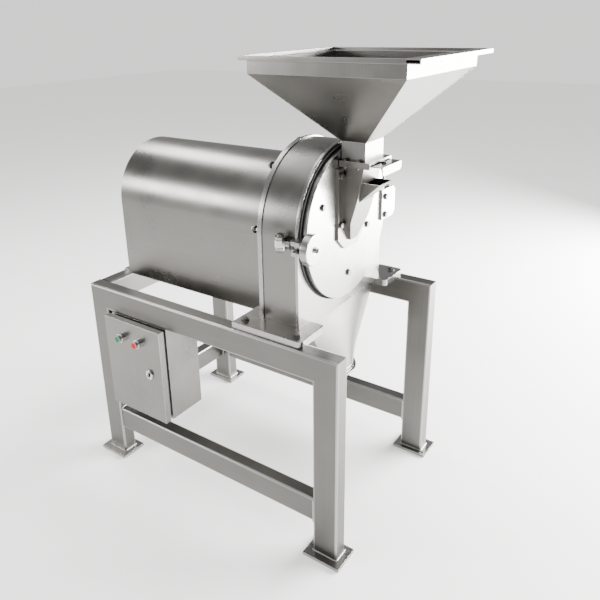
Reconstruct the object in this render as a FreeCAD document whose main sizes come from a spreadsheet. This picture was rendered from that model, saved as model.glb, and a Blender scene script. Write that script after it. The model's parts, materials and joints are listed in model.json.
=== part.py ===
import FreeCAD, Part
import math
import os
import re
import Sketcher

# Hammer mill for dry grain: a tubular stand carries a round grinding chamber with a hinged front door,
# the feed hopper rides on the door, and a motor behind the chamber turns the rotor.
# Millimetres. +X is the door side and the shaft axis, -Y the operator's side, +Z up, floor at Z = 0,
# and the origin lies on the floor at the centre of the four legs.
# A size that is a number is free; one that starts with = follows others.

SIZES = {
    # stand
    "frame_length": 980, "frame_width": 650, "frame_height": 664, "leg_depth": 80, "leg_width": 50,
    "rail_height": 80, "tube_wall": 3, "lower_rail_top": 194, "lower_rail_height": 80,
    "lower_rail_width": 45, "lower_rail_inset": 2.5, "foot_length": 122, "foot_width": 92,
    "foot_shift": 3, "foot_thick": 10, "anchor_hole": 11, "anchor_beyond_leg": 8,
    "anchor_inside_leg": 7, "mount_rear": "=chamber_rear - 62", "mount_front": "=chamber_front + 64",
    "mount_inner": "=chamber_radius - 50", "mount_outer": "=frame_width / 2 - 10", "mount_thick": 20,
    "mount_corner": 15, "mount_bolt_inset": 29, "mount_bolt_from_edge": 28,
    # grinding chamber
    "shaft_height": "=frame_height + 268", "chamber_radius": 240, "chamber_wall": 6,
    "chamber_rear": 192, "chamber_front": 304, "end_plate_overhang": 3, "back_plate_thick": 14,
    "front_plate_thick": 10, "door_opening": "=chamber_radius - 24",
    "end_bolt_circle": "=chamber_radius - 13", "shaft_bore": 32, "liner_thick": 8,
    "liner_outer": "=chamber_radius - chamber_wall - 1", "liner_tooth": 5,
    "screen_outer": "=liner_outer - liner_thick", "screen_thick": 3, "screen_slot": 8,
    "screen_land": 14,
    # rotor
    "rotor_shaft_radius": 20, "rotor_shaft_rear": "=chamber_rear - 139",
    "rotor_shaft_front": "=chamber_front - 2", "disc_radius": 118, "disc_thick": 6,
    "disc_first": "=chamber_rear + 10", "disc_pitch": 26, "hub_radius": 34, "pin_circle": 95,
    "pin_radius": 8, "pin_head": 11, "hammer_width": 40,
    "hammer_reach": "=screen_outer - screen_thick - pin_circle - 10", "hammer_thick": 8,
    "rotor_nut_across": 36, "rotor_nut_thick": 14, "running_gap": 0.05,
    # bearings and coupling
    "housing_rear": "=chamber_rear - 94", "housing_radius": 55, "housing_flange": 75,
    "housing_flange_thick": 10, "bearing_outer": 40, "bearing_width": 18,
    "bearing_first": "=housing_rear + 8", "bearing_second": "=housing_rear + 48", "coupling_radius": 45,
    "coupling_hub": 45, "coupling_bore": 22,
    # motor, its base and its cover
    "motor_radius": 130, "motor_front": "=motor_shaft_front - 55", "motor_rear": "=motor_front - 340",
    "motor_height": 132, "motor_shaft_radius": 19, "motor_shaft_rear": "=motor_rear - 76",
    "motor_shaft_front": "=rotor_shaft_rear - 10", "foot_rear": "=motor_front - 288",
    "foot_front": "=motor_front - 68", "foot_half": 108, "foot_height": 50, "terminal_box": 120,
    "fan_cover_rear": "=motor_rear - 86", "fan_cover_wall": 2, "fan_radius": 105,
    "fan_rear": "=motor_rear - 68", "fan_front": "=motor_rear - 28", "base_thick": 12,
    "base_rear": "=15 - frame_length / 2", "base_flange": 60, "base_bolt_inset": 12,
    "base_bolt_half": 120, "base_lip_half": "=cover_radius - 45", "base_lip_bolt_half": 110,
    "terminal_rear": "=foot_rear + 60", "terminal_reach": "=cover_radius - 20", "foot_relief": 1,
    "foot_relief_half": 58, "fan_gap": 8, "fan_sheet": 3, "blade_thick": 4, "fan_hub_radius": 31,
    "grille_half": 80, "grille_slot": 12, "grille_pitch": 25, "riser_half": 20, "riser_spacing": 98,
    "cover_radius": "=chamber_radius - 55", "cover_sheet": 2, "cover_rear": "=fan_cover_rear - 10",
    "cover_lap": 8, "vent_width": 90, "vent_height": 8, "vent_pitch": 24,
    # discharge
    "outlet_half": "=mount_inner + 10", "outlet_height": "=frame_height - 214", "outlet_radius": 93,
    "sheet": 3, "collar_depth": 20, "collar_flange": 102, "collar_lip": 6,
    "outlet_x": "=chamber_front - 54",
    # door and its hinge
    "door_radius": "=chamber_radius - 12", "door_rear": "=chamber_front + 14", "door_thick": 16,
    "seal_inner": "=door_radius - 6", "seal_outer": "=door_radius + 7", "seal_gap": 0.3,
    "port_half": 45, "port_top": "=shaft_height + 158", "port_bottom": "=shaft_height - 2",
    "hinge_x": "=door_rear + 4", "hinge_y": "=chamber_radius + 28", "hinge_radius": 11,
    "hinge_pin_radius": 6, "hinge_low": "=shaft_height - 47", "hinge_high": "=shaft_height + 48",
    "hinge_lug": 18, "hinge_gap": 1, "strap_thick": 8, "strap_inner": "=hinge_y - 73",
    "strap_outer": "=hinge_y + 18", "strap_bevel": 14, "strap_bolt_inset": 21,
    "lug_rear": "=hinge_x - 60", "lug_sink": 12, "lug_inside": 9.2, "lug_outside": 10.2,
    "knuckle_web": 16,
    # swing bolt and its lugs
    "lock_x": "=chamber_front - 34", "lock_y": "=chamber_radius + 22",
    "lock_height": "=shaft_height + 3", "lock_lug": 8, "lock_lug_half": 15, "lock_half_gap": 11,
    "lock_pin_radius": 6, "eye_radius": 16, "eye_half": 10, "stud_radius": 8,
    "stud_front": "=door_rear + 70", "fork_front": "=door_rear + 32", "fork_slot": "=stud_radius + 1",
    "fork_half": 20, "fork_outer": "=lock_y + 26", "fork_inner": "=lock_y - 62",
    "fork_root": "=lock_y - 16", "wheel_radius": 43, "wheel_rear": "=fork_front + 10",
    "wheel_front": "=wheel_rear + 22", "wheel_hub": 16,
    # feed chute, air scoop and gate
    "chute_half": 53, "chute_top": "=shaft_height + 180", "chute_reach": "=door_rear + 89",
    "chute_knee": "=door_rear + 69", "chute_knee_height": "=shaft_height + 80",
    "chute_tip": "=door_rear + 32", "chute_tip_height": "=shaft_height - 46",
    "chute_waist": "=shaft_height + 16", "chute_tip_half": 20, "chute_flange_half": 77,
    "chute_flange_top": "=chute_top - 6", "chute_flange_waist": "=shaft_height - 34",
    "chute_flange_low": "=shaft_height - 70", "chute_flange_tip": 38, "chute_bolt_half": 65,
    "chute_bolt_high": "=chute_top - 26", "chute_bolt_low": "=shaft_height + 10", "scoop_half": 38,
    "scoop_top": "=chute_top - 46", "scoop_reach": "=chute_reach + 42", "scoop_low": "=scoop_top - 58",
    "gate_flange_rear": "=door_rear + 12", "gate_flange_front": "=gate_flange_rear + 100",
    "gate_flange_half": 66, "gate_flange_thick": 6, "gate_guide": 8, "gate_slot": 6, "gate_thick": 3,
    "gate_clear": 0.5, "gate_tab": "=gate_flange_front + 36", "gate_lip": 25, "gate_screw_radius": 4,
    "gate_screw_x": "=gate_flange_front + 10", "gate_screw_low": "=chute_top - 36", "gate_nut": 7.5,
    "gate_nut_thick": 6, "gate_lip_round": 12, "flange_step": 6,
    # hopper
    "neck_bolt_rear": "=neck_rear + 16", "neck_bolt_front": "=neck_front - 18",
    "neck_rear": "=gate_flange_rear + 6", "neck_front": "=neck_rear + 74", "neck_half": 53,
    "neck_top": "=chute_top + 69", "band_rear": "=neck_rear - 186", "band_front": "=neck_front + 190",
    "band_half": 225, "band_bottom": "=neck_top + 187", "band_top": "=band_bottom + 34", "rim_out": 16,
    "rim_fold": 38, "rim_height": 12,
    # control box
    "box_rear": "=99 - frame_length / 2", "box_front": "=box_rear + 252",
    "box_low": "=frame_height - 410", "box_face": "=frame_width / 2 + 32",
    "box_back": "=frame_width / 2 - 138", "box_door_thick": 22, "box_gutter": 10, "box_neck": 10,
    "box_sheet": 2, "box_door_gap": 0.4, "box_hinge_inset": 3, "button_green_x": "=box_rear + 82",
    "button_red_x": "=box_rear + 160", "button_height": "=frame_height - 137", "button_radius": 12,
    "bezel_radius": 15, "bezel_depth": 8, "button_proud": 25, "button_gap": 0.5, "button_stem": 8,
    "button_block": 30, "cam_x": "=box_rear + 197", "cam_height": "=frame_height - 241",
    "cam_radius": 11, "cam_length": 45, "cam_ring": 4, "gland_radius": 12, "gland_spacing": 100,
    "gland_nut_height": 22, "gear_inset": 50, "gear_depth": 70, "gear_below": 80, "gear_above": 120,
    # fasteners
    "big_bolt": 6, "big_head": 10.5, "big_head_thick": 8, "small_bolt": 5, "small_head": 9.2,
    "small_head_thick": 6.4, "neck_bolt": 2.5, "neck_head": 4.6, "neck_head_thick": 3.5,
    "hole_gap": 0.3,
}

DISCS = 4
PINS = 4
SCREEN_SLOTS = 13
LINER_TEETH = 9
VENTS = 7

doc = FreeCAD.newDocument("HammerMill")
sheet = doc.addObject("Spreadsheet::Sheet", "Sizes")
for row, alias in enumerate(SIZES, start=1):
    sheet.set(f"A{row}", alias.replace("_", " "))
    sheet.setAlias(f"B{row}", alias)
for row, size in enumerate(SIZES.values(), start=1):
    sheet.set(f"B{row}", str(size))
doc.recompute()

WORD = re.compile(r"[a-z][a-z_0-9]*")
X_AXIS = FreeCAD.Rotation(FreeCAD.Vector(0, 1, 0), 90)
Y_AXIS = FreeCAD.Rotation(FreeCAD.Vector(1, 0, 0), -90)
Z_AXIS = FreeCAD.Rotation()
finished = []
names_used = {}


# ---- helpers: every size below is a formula over the sheet ----

def formula(text):
    """The formula with each size's name pointing at its cell."""
    return WORD.sub(lambda word: "Sizes." + word.group() if word.group() in SIZES else word.group(),
                    str(text))


def value(text):
    """The number that a formula gives now."""
    return float(sheet.evalExpression(formula(text)))


def new(kind, name):
    """A document object with a name of its own."""
    names_used[name] = names_used.get(name, 0) + 1
    return doc.addObject(kind, f"{name}_{names_used[name]}")


def bind(item, **formulas):
    """Ties an object's properties to the sheet."""
    for prop, text in formulas.items():
        item.setExpression(prop, formula(text))


def place(item, x, y, z, turn=Z_AXIS):
    """Puts an object at a point given by formulas."""
    item.Placement = FreeCAD.Placement(FreeCAD.Vector(), turn)
    for letter, text in (("x", x), ("y", y), ("z", z)):
        item.setExpression(f"Placement.Base.{letter}", formula(text))
    return item


def box(name, x, y, z):
    """A block between two formulas along each axis."""
    block = new("Part::Box", name)
    bind(block, Length=f"({x[1]}) - ({x[0]})", Width=f"({y[1]}) - ({y[0]})", Height=f"({z[1]}) - ({z[0]})")
    return place(block, x[0], y[0], z[0])


def rod(name, along, centre, span, radius):
    """A cylinder along X, Y or Z about the centre's two other coordinates."""
    cylinder = new("Part::Cylinder", name)
    bind(cylinder, Radius=radius, Height=f"({span[1]}) - ({span[0]})")
    if along == "x":
        return place(cylinder, span[0], centre[0], centre[1], X_AXIS)
    if along == "y":
        return place(cylinder, centre[0], span[0], centre[1], Y_AXIS)
    return place(cylinder, centre[0], centre[1], span[0], Z_AXIS)


def hexagon(name, along, centre, span, radius):
    """A six-sided bar, such as a bolt head, with the given corner radius."""
    prism_bar = new("Part::Prism", name)
    prism_bar.Polygon = 6
    bind(prism_bar, Circumradius=radius, Height=f"({span[1]}) - ({span[0]})")
    if along == "x":
        return place(prism_bar, span[0], centre[0], centre[1], X_AXIS)
    return place(prism_bar, centre[0], centre[1], span[0], Z_AXIS)


def cut(name, base, *tools):
    """The base less the tools."""
    less = new("Part::Cut", name)
    less.Base = base
    less.Tool = tools[0] if len(tools) == 1 else join(name + "_tools", *tools)
    return less


def join(name, *pieces):
    """One shape of pieces that meet."""
    union = new("Part::MultiFuse", name)
    union.Shapes = list(pieces)
    union.Refine = True
    return union


def meet(name, *pieces):
    """What the pieces share."""
    shared = new("Part::MultiCommon", name)
    shared.Shapes = list(pieces)
    return shared


def group(name, *pieces):
    """Separate solids kept in one node."""
    compound = new("Part::Compound", name)
    compound.Links = list(pieces)
    return compound


def tube(name, along, centre, span, outer, inner):
    """A ring or pipe."""
    return cut(name, rod(name, along, centre, span, outer), rod(name, along, centre, span, inner))


def prism(name, plane, points, span):
    """A PartDesign body: a polygon, its corners bound to the sheet, padded from one level to another."""
    body = new("PartDesign::Body", name)
    sketch = body.newObject("Sketcher::SketchObject", body.Name + "_outline")
    origin_plane = next(o for o in body.Origin.OriginFeatures if o.Role == plane)
    sketch.AttachmentSupport = [(origin_plane, "")]
    sketch.MapMode = "FlatFace"
    level = f"-({span[1]})" if plane == "XZ_Plane" else span[0]
    sketch.setExpression(".AttachmentOffset.Base.z", formula(level))
    corners = [FreeCAD.Vector(value(a), value(b), 0) for a, b in points]
    count = len(corners)
    for index in range(count):
        sketch.addGeometry(Part.LineSegment(corners[index], corners[(index + 1) % count]), False)
    for index in range(count):
        sketch.addConstraint(Sketcher.Constraint("Coincident", index, 2, (index + 1) % count, 1))
    for index, (across, up) in enumerate(points):
        for kind, text, number in (("DistanceX", across, corners[index].x),
                                   ("DistanceY", up, corners[index].y)):
            at = sketch.addConstraint(Sketcher.Constraint(kind, -1, 1, index, 1, number))
            sketch.setExpression(f"Constraints[{at}]", formula(text))
    pad = body.newObject("PartDesign::Pad", body.Name + "_pad")
    pad.Profile = sketch
    bind(pad, Length=f"({span[1]}) - ({span[0]})")
    body.Tip = pad
    return body


def frustum(name, z, bottom, top):
    """A block whose rectangle (x from, x to, half width) changes evenly from bottom to top."""
    wedge = new("Part::Wedge", name)
    bind(wedge, Ymin="0", Ymax=f"({z[1]}) - ({z[0]})", Xmin=bottom[0], Xmax=bottom[1], X2min=top[0],
         X2max=top[1], Zmin=f"-({bottom[2]})", Zmax=bottom[2], Z2min=f"-({top[2]})", Z2max=top[2])
    return place(wedge, "0", "0", z[0], FreeCAD.Rotation(FreeCAD.Vector(1, 0, 0), 90))


def arch(name, x, radius, bottom):
    """A block under a half-cylinder about the shaft's axis."""
    crown = rod(name + "_crown", "x", ("0", "shaft_height"), x, radius)
    sides = box(name + "_sides", x, (f"-({radius})", radius), (bottom, "shaft_height"))
    return join(name, crown, sides)


def bolt(name, along, centre, face, out, depth, size="small"):
    """A hex bolt: its head stands out of the face, its shank goes in by the depth. out is 1 or -1."""
    head_end = f"({face}) + {out} * {size}_head_thick"
    shank_end = f"({face}) - {out} * ({depth})"
    head = (face, head_end) if out > 0 else (head_end, face)
    shank = (shank_end, face) if out > 0 else (face, shank_end)
    return join(name, hexagon(name + "_head", along, centre, head, f"{size}_head"),
                rod(name + "_shank", along, centre, shank, f"{size}_bolt"))


def holes(name, along, centres, span, size="small"):
    """Clearance holes for bolts."""
    return [rod(name, along, centre, span, f"{size}_bolt + hole_gap") for centre in centres]


def keep(item, label):
    """Names a finished sub-part."""
    item.Label = label
    finished.append(item)
    return item


# ---- places that several pieces share ----

plate_top = "(frame_height + mount_thick)"
back_rear = "(chamber_rear - back_plate_thick)"
plate_front = "(chamber_front + front_plate_thick)"
end_radius = "(chamber_radius + end_plate_overhang)"
inner_radius = "(chamber_radius - chamber_wall)"
door_front = "(door_rear + door_thick)"
rail_bottom = "(frame_height - rail_height)"
base_top = "(frame_height + base_thick)"
slot_bottom = "(chute_top + gate_flange_thick)"
slot_top = f"({slot_bottom} + gate_slot)"
flange_top = f"({slot_top} + gate_flange_thick)"
axis = ("0", "shaft_height")


# ---- stand ----

def leg(label, along, side):
    """A tube leg, mitred at the top to meet its side rail."""
    outer = f"{along} * frame_length / 2"
    inner = f"{along} * (frame_length / 2 - leg_depth)"
    slope = "rail_height / leg_depth"
    skin = prism(label, "XZ_Plane", [
        (inner, "foot_thick"), (outer, "foot_thick"), (outer, "frame_height"), (inner, rail_bottom),
    ], span_y(side, "frame_width / 2 - leg_width", "frame_width / 2"))
    hollow = prism(label + "_hollow", "XZ_Plane", [
        (f"{inner} + {along} * tube_wall", "foot_thick"),
        (f"{outer} - {along} * tube_wall", "foot_thick"),
        (f"{outer} - {along} * tube_wall", f"frame_height - tube_wall * {slope}"),
        (f"{inner} + {along} * tube_wall", f"{rail_bottom} + tube_wall * {slope}"),
    ], span_y(side, "frame_width / 2 - leg_width + tube_wall", "frame_width / 2 - tube_wall"))
    keep(cut(label, skin, hollow), label)


def span_y(side, inner, outer):
    """The two ends in Y of a piece on the right (1) or left (-1) side."""
    return (inner, outer) if side > 0 else (f"-({outer})", f"-({inner})")


def mount_bolt_places(side):
    """Centres of the two bolts through one mounting plate."""
    across = f"{side} * (mount_outer - mount_bolt_from_edge)"
    return [("mount_rear + mount_bolt_inset - 2", across), ("mount_front - mount_bolt_inset - 2", across)]


def top_rail(label, side):
    """A mitred side rail with two bolt holes under the mounting plate."""
    shrink = "leg_depth * tube_wall / rail_height"
    skin = prism(label, "XZ_Plane", [
        ("-frame_length / 2", "frame_height"), ("frame_length / 2", "frame_height"),
        ("frame_length / 2 - leg_depth", rail_bottom), ("leg_depth - frame_length / 2", rail_bottom),
    ], span_y(side, "frame_width / 2 - leg_width", "frame_width / 2"))
    hollow = prism(label + "_hollow", "XZ_Plane", [
        (f"{shrink} - frame_length / 2", "frame_height - tube_wall"),
        (f"frame_length / 2 - {shrink}", "frame_height - tube_wall"),
        (f"frame_length / 2 - leg_depth + {shrink}", f"{rail_bottom} + tube_wall"),
        (f"leg_depth - frame_length / 2 - {shrink}", f"{rail_bottom} + tube_wall"),
    ], span_y(side, "frame_width / 2 - leg_width + tube_wall", "frame_width / 2 - tube_wall"))
    drilled = holes(label + "_hole", "z", mount_bolt_places(side),
                    ("frame_height - 2 * tube_wall", "frame_height + tube_wall"), "big")
    keep(cut(label, skin, hollow, *drilled), label)


for end_name, end in (("front", 1), ("rear", -1)):
    for side_name, side in (("left", -1), ("right", 1)):
        leg(f"leg_{end_name}_{side_name}", end, side)
for side_name, side in (("left", -1), ("right", 1)):
    top_rail(f"top_rail_{side_name}", side)


def square_rail(label, x, y, z, open_along):
    """A straight tube, open at its two ends."""
    wall = "tube_wall"
    inner_x = x if open_along == "x" else (f"({x[0]}) + {wall}", f"({x[1]}) - {wall}")
    inner_y = y if open_along == "y" else (f"({y[0]}) + {wall}", f"({y[1]}) - {wall}")
    inner_z = (f"({z[0]}) + {wall}", f"({z[1]}) - {wall}")
    return cut(label, box(label, x, y, z), box(label + "_hollow", inner_x, inner_y, inner_z))


between_rails = ("leg_width - frame_width / 2", "frame_width / 2 - leg_width")
base_bolts = [("base_rear + base_bolt_inset", f"{side} * base_bolt_half") for side in (-1, 1)]
rear_rail = square_rail("top_rail_rear", ("-frame_length / 2", "leg_width - frame_length / 2"),
                        between_rails, (rail_bottom, "frame_height"), "y")
keep(cut("top_rail_rear", rear_rail,
         *holes("rear_hole", "z", base_bolts, ("frame_height - 2 * tube_wall", "frame_height + 1"), "big")),
     "top_rail_rear")
lower_span = ("lower_rail_top - lower_rail_height", "lower_rail_top")
for side_name, side in (("left", -1), ("right", 1)):
    keep(square_rail(f"lower_rail_{side_name}",
                     ("leg_depth - frame_length / 2", "frame_length / 2 - leg_depth"),
                     span_y(side, "frame_width / 2 - lower_rail_inset - lower_rail_width",
                            "frame_width / 2 - lower_rail_inset"), lower_span, "x"),
         f"lower_rail_{side_name}")
keep(square_rail("lower_rail_rear", ("lower_rail_inset - frame_length / 2",
                                     "lower_rail_inset + lower_rail_width - frame_length / 2"),
                 between_rails, lower_span, "y"), "lower_rail_rear")


def foot_plate(along, side):
    """A base plate with one anchor hole outside its leg's inner corner."""
    middle = f"{along} * (frame_length - leg_depth) / 2"
    across = f"{side} * ((frame_width - leg_width) / 2 + foot_shift)"
    plate = box("foot", (f"{middle} - foot_length / 2", f"{middle} + foot_length / 2"),
                (f"{across} - foot_width / 2", f"{across} + foot_width / 2"), ("0", "foot_thick"))
    hole = rod("anchor", "z", (f"{along} * (frame_length / 2 + anchor_beyond_leg)",
                               f"{side} * (frame_width / 2 - leg_width - anchor_inside_leg)"),
               ("-1", "foot_thick + 1"), "anchor_hole / 2")
    return cut("foot", plate, hole)


keep(group("foot_plates", *[foot_plate(along, side) for along in (1, -1) for side in (1, -1)]),
     "foot_plates")


def mounting_plate(side):
    """A thick plate across the side rail, with rounded front corners."""
    across = span_y(side, "mount_inner", "mount_outer")
    depth = ("frame_height", plate_top)
    body = box("mount", ("mount_rear", "mount_front - mount_corner"), across, depth)
    nose = box("mount_nose", ("mount_front - mount_corner", "mount_front"),
               (f"({across[0]}) + mount_corner", f"({across[1]}) - mount_corner"), depth)
    rounds = [rod("mount_round", "z", ("mount_front - mount_corner", corner), depth, "mount_corner")
              for corner in (f"({across[0]}) + mount_corner", f"({across[1]}) - mount_corner")]
    whole = join("mount", body, nose, *rounds)
    return cut("mount", whole, *holes("mount_hole", "z", mount_bolt_places(side),
                                      ("frame_height - 1", f"{plate_top} + 1"), "big"))


keep(group("mounting_plates", mounting_plate(1), mounting_plate(-1)), "mounting_plates")
stand_bolts = [bolt("stand_bolt", "z", centre, plate_top, 1, "mount_thick + tube_wall", "big")
               for side in (1, -1) for centre in mount_bolt_places(side)]
stand_bolts += [bolt("base_bolt", "z", centre, base_top, 1, "base_thick + tube_wall", "big")
                for centre in base_bolts]


# ---- grinding chamber ----

shell = cut("chamber_shell", arch("shell", ("chamber_rear", "chamber_front"), "chamber_radius", plate_top),
            arch("shell_hollow", ("chamber_rear", "chamber_front"), inner_radius, f"{plate_top} - 1"))
keep(shell, "chamber_shell")

flange_angles = (3, 52, 90, 128, 177)
flange_places = [(f"end_bolt_circle * cos({turn} deg)", f"shaft_height + end_bolt_circle * sin({turn} deg)")
                 for turn in flange_angles]


def end_plate(label, x, *tools):
    """A D-shaped end plate that reaches down between the mounting plates."""
    upper = arch(label, x, end_radius, plate_top)
    lower = box(label + "_foot", x, ("-mount_inner", "mount_inner"), ("frame_height", plate_top))
    return keep(cut(label, join(label, upper, lower), *tools), label)


end_plate("chamber_front_plate", ("chamber_front", plate_front),
          rod("door_opening", "x", axis, ("chamber_front - 1", f"{plate_front} + 1"), "door_opening"))
base_flange_bolts = [(f"{side} * base_lip_bolt_half", f"{base_top} + base_flange / 2") for side in (-1, 1)]
housing_circle = "(housing_flange + housing_radius) / 2"
housing_bolts = [(f"{housing_circle} * cos({turn} deg)",
                  f"shaft_height + {housing_circle} * sin({turn} deg)")
                 for turn in (45, 135, 225, 315)]
back_holes = holes("back_hole", "x", base_flange_bolts + housing_bolts + flange_places,
                   (f"{back_rear} - 1", "chamber_rear + 1"))
end_plate("chamber_back_plate", (back_rear, "chamber_rear"),
          rod("shaft_bore", "x", axis, (f"{back_rear} - 1", "chamber_rear + 1"), "shaft_bore"), *back_holes)
rear_bolts = [bolt("flange_bolt", "x", centre, back_rear, -1, "back_plate_thick - 2")
              for centre in flange_places]
rear_bolts += [bolt("base_flange_bolt", "x", centre, f"{back_rear} - base_thick", -1,
                    "base_thick + back_plate_thick") for centre in base_flange_bolts]
rear_bolts += [bolt("housing_bolt", "x", centre, f"{back_rear} - housing_flange_thick", -1,
                    "housing_flange_thick + back_plate_thick") for centre in housing_bolts]

liner_inner = "(liner_outer - liner_thick)"
liner_ring = cut("liner",
                 tube("liner", "x", axis, ("chamber_rear", "chamber_front"), "liner_outer", liner_inner),
                 box("liner_lower", ("chamber_rear - 1", "chamber_front + 1"),
                     ("-liner_outer - 1", "liner_outer + 1"),
                     ("shaft_height - liner_outer - 1", "shaft_height")))


def liner_tooth(index):
    """A breaker bar on the inside of the liner."""
    turn = 180 * (index + 1) / (LINER_TEETH + 1)
    bar = new("Part::Box", "liner_tooth")
    bind(bar, Length="chamber_front - chamber_rear", Width="2 * liner_tooth", Height="liner_tooth + 1")
    tilt = FreeCAD.Rotation(FreeCAD.Vector(1, 0, 0), turn - 90)
    reach = "(liner_outer - liner_thick - liner_tooth)"
    return place(bar, "chamber_rear",
                 f"{reach} * cos({turn} deg) - liner_tooth * sin({turn} deg)",
                 f"shaft_height + {reach} * sin({turn} deg) + liner_tooth * cos({turn} deg)", tilt)


keep(join("breaker_liner", liner_ring, *[liner_tooth(index) for index in range(LINER_TEETH)]),
     "breaker_liner")

screen_inner = "(screen_outer - screen_thick)"
screen_ring = cut("screen",
                  tube("screen", "x", axis, ("chamber_rear", "chamber_front"), "screen_outer",
                       screen_inner),
                  box("screen_upper", ("chamber_rear - 1", "chamber_front + 1"),
                      ("-screen_outer - 1", "screen_outer + 1"),
                      ("shaft_height - 0.3", "shaft_height + screen_outer + 1")))


def screen_slot(index):
    """A long slot through the screen, parallel to the shaft."""
    turn = -180 * (index + 1) / (SCREEN_SLOTS + 1)
    slot = new("Part::Box", "screen_slot")
    bind(slot, Length="chamber_front - chamber_rear - 2 * screen_land", Width="screen_slot", Height="20")
    tilt = FreeCAD.Rotation(FreeCAD.Vector(1, 0, 0), turn - 90)
    reach = "(screen_outer - 10)"
    return place(slot, "chamber_rear + screen_land",
                 f"{reach} * cos({turn} deg) - screen_slot / 2 * sin({turn} deg)",
                 f"shaft_height + {reach} * sin({turn} deg) + screen_slot / 2 * cos({turn} deg)", tilt)


keep(cut("screen", screen_ring, *[screen_slot(index) for index in range(SCREEN_SLOTS)]), "screen")


# ---- bearings ----

housing = join("bearing_housing",
               rod("housing_barrel", "x", axis, ("housing_rear", back_rear), "housing_radius"),
               rod("housing_flange", "x", axis, (f"{back_rear} - housing_flange_thick", back_rear),
                   "housing_flange"))
keep(cut("bearing_housing", housing,
         rod("housing_bore", "x", axis, ("housing_rear - 1", f"{back_rear} + 1"), "bearing_outer"),
         *holes("housing_hole", "x", housing_bolts,
                (f"{back_rear} - housing_flange_thick - 1", f"{back_rear} + 1"))),
     "bearing_housing")
bearings = [tube("bearing", "x", axis, (first, f"{first} + bearing_width"), "bearing_outer",
                 "rotor_shaft_radius + running_gap") for first in ("bearing_first", "bearing_second")]
keep(group("rotor_bearings", *bearings), "rotor_bearings")
keep(group("frame_bolts", *stand_bolts, *rear_bolts), "frame_bolts")


# ---- rotor ----

pin_places = [(f"pin_circle * cos({turn} deg)", f"shaft_height + pin_circle * sin({turn} deg)")
              for turn in (45, 135, 225, 315)]
disc_last = f"(disc_first + {DISCS - 1} * disc_pitch + disc_thick)"
end_nut = hexagon("rotor_nut", "x", axis, (disc_last, f"{disc_last} + rotor_nut_thick"),
                  "rotor_nut_across / 2 / cos(30 deg)")
keep(join("rotor_shaft",
          rod("rotor_shaft", "x", axis, ("rotor_shaft_rear", "rotor_shaft_front"), "rotor_shaft_radius"),
          end_nut), "rotor_shaft")
discs = [rod("disc", "x", axis,
             (f"disc_first + {index} * disc_pitch", f"disc_first + {index} * disc_pitch + disc_thick"),
             "disc_radius") for index in range(DISCS)]
hub = rod("disc_hub", "x", axis, ("disc_first", disc_last), "hub_radius")
pin_bores = [rod("pin_bore", "x", centre, ("disc_first - 1", f"{disc_last} + 1"), "pin_radius")
             for centre in pin_places]
keep(cut("rotor_discs", join("rotor_discs", hub, *discs),
         rod("disc_bore", "x", axis, ("disc_first - 1", f"{disc_last} + 1"), "rotor_shaft_radius"),
         *pin_bores),
     "rotor_discs")
pins = [join("hammer_pin", rod("pin", "x", centre, ("disc_first - 2", disc_last), "pin_radius"),
             rod("pin_head", "x", centre, (disc_last, f"{disc_last} + 4"),
                 "pin_head")) for centre in pin_places]
keep(group("hammer_pins", *pins), "hammer_pins")


def hammer_row(label, centre, hang):
    """The hammers of one pin, hanging at an angle measured from +Y towards +Z."""
    plates = []
    for index in range(DISCS - 1):
        middle = f"(disc_first + {index} * disc_pitch + (disc_pitch + disc_thick) / 2)"
        span = (f"{middle} - hammer_thick / 2", f"{middle} + hammer_thick / 2")
        blank = join("hammer",
                     box("hammer_plate", span, ("0", "hammer_reach"),
                         ("-hammer_width / 2", "hammer_width / 2")),
                     rod("hammer_eye", "x", ("0", "0"), span, "hammer_width / 2"))
        plates.append(cut("hammer", blank,
                          rod("hammer_bore", "x", ("0", "0"), (f"{span[0]} - 1", f"{span[1]} + 1"),
                                               "pin_radius + running_gap")))
    row = group(label, *plates)
    place(row, "0", centre[0], centre[1], FreeCAD.Rotation(FreeCAD.Vector(1, 0, 0), hang))
    keep(row, label)


for number, (centre, hang) in enumerate(zip(pin_places, (-15, 195, 270, 270)), start=1):
    hammer_row(f"hammers_{number}", centre, hang)

hub_rear = tube("coupling_hub", "x", axis, ("motor_shaft_front - coupling_hub", "motor_shaft_front"),
                "coupling_radius", "motor_shaft_radius")
hub_front = tube("coupling_hub", "x", axis, ("rotor_shaft_rear", "rotor_shaft_rear + coupling_hub - 3"),
                 "coupling_radius", "rotor_shaft_radius")
keep(group("shaft_coupling", hub_rear, hub_front), "shaft_coupling")
keep(tube("coupling_spider", "x", axis, ("motor_shaft_front", "rotor_shaft_rear"), "coupling_radius",
          "coupling_bore"),
     "coupling_spider")


# ---- motor ----

keep(rod("motor_shaft", "x", axis, ("motor_shaft_rear", "motor_shaft_front"), "motor_shaft_radius"),
     "motor_shaft")
barrel = rod("motor_barrel", "x", axis, ("motor_rear", "motor_front"), "motor_radius")
feet_bottom = "(shaft_height - motor_height)"
feet = box("motor_feet", ("foot_rear", "foot_front"), ("-foot_half", "foot_half"),
           (feet_bottom, f"{feet_bottom} + foot_height"))
terminal = box("terminal_box", ("terminal_rear", "terminal_rear + terminal_box"), ("-terminal_reach", "0"),
               ("shaft_height - terminal_box / 2", "shaft_height + terminal_box / 2"))
keep(cut("motor_body", join("motor_body", barrel, feet, terminal),
         rod("motor_bore", "x", axis, ("motor_rear - 1", "motor_front + 1"),
             "motor_shaft_radius + running_gap"),
         box("foot_relief", ("foot_rear - 1", "foot_front + 1"), ("-foot_relief_half", "foot_relief_half"),
             (f"{feet_bottom} - 1", f"{feet_bottom} + foot_relief"))),
     "motor_body")
fan_shell = rod("fan_shell", "x", axis, ("fan_cover_rear", "motor_rear"), "motor_radius - fan_cover_wall")
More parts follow.
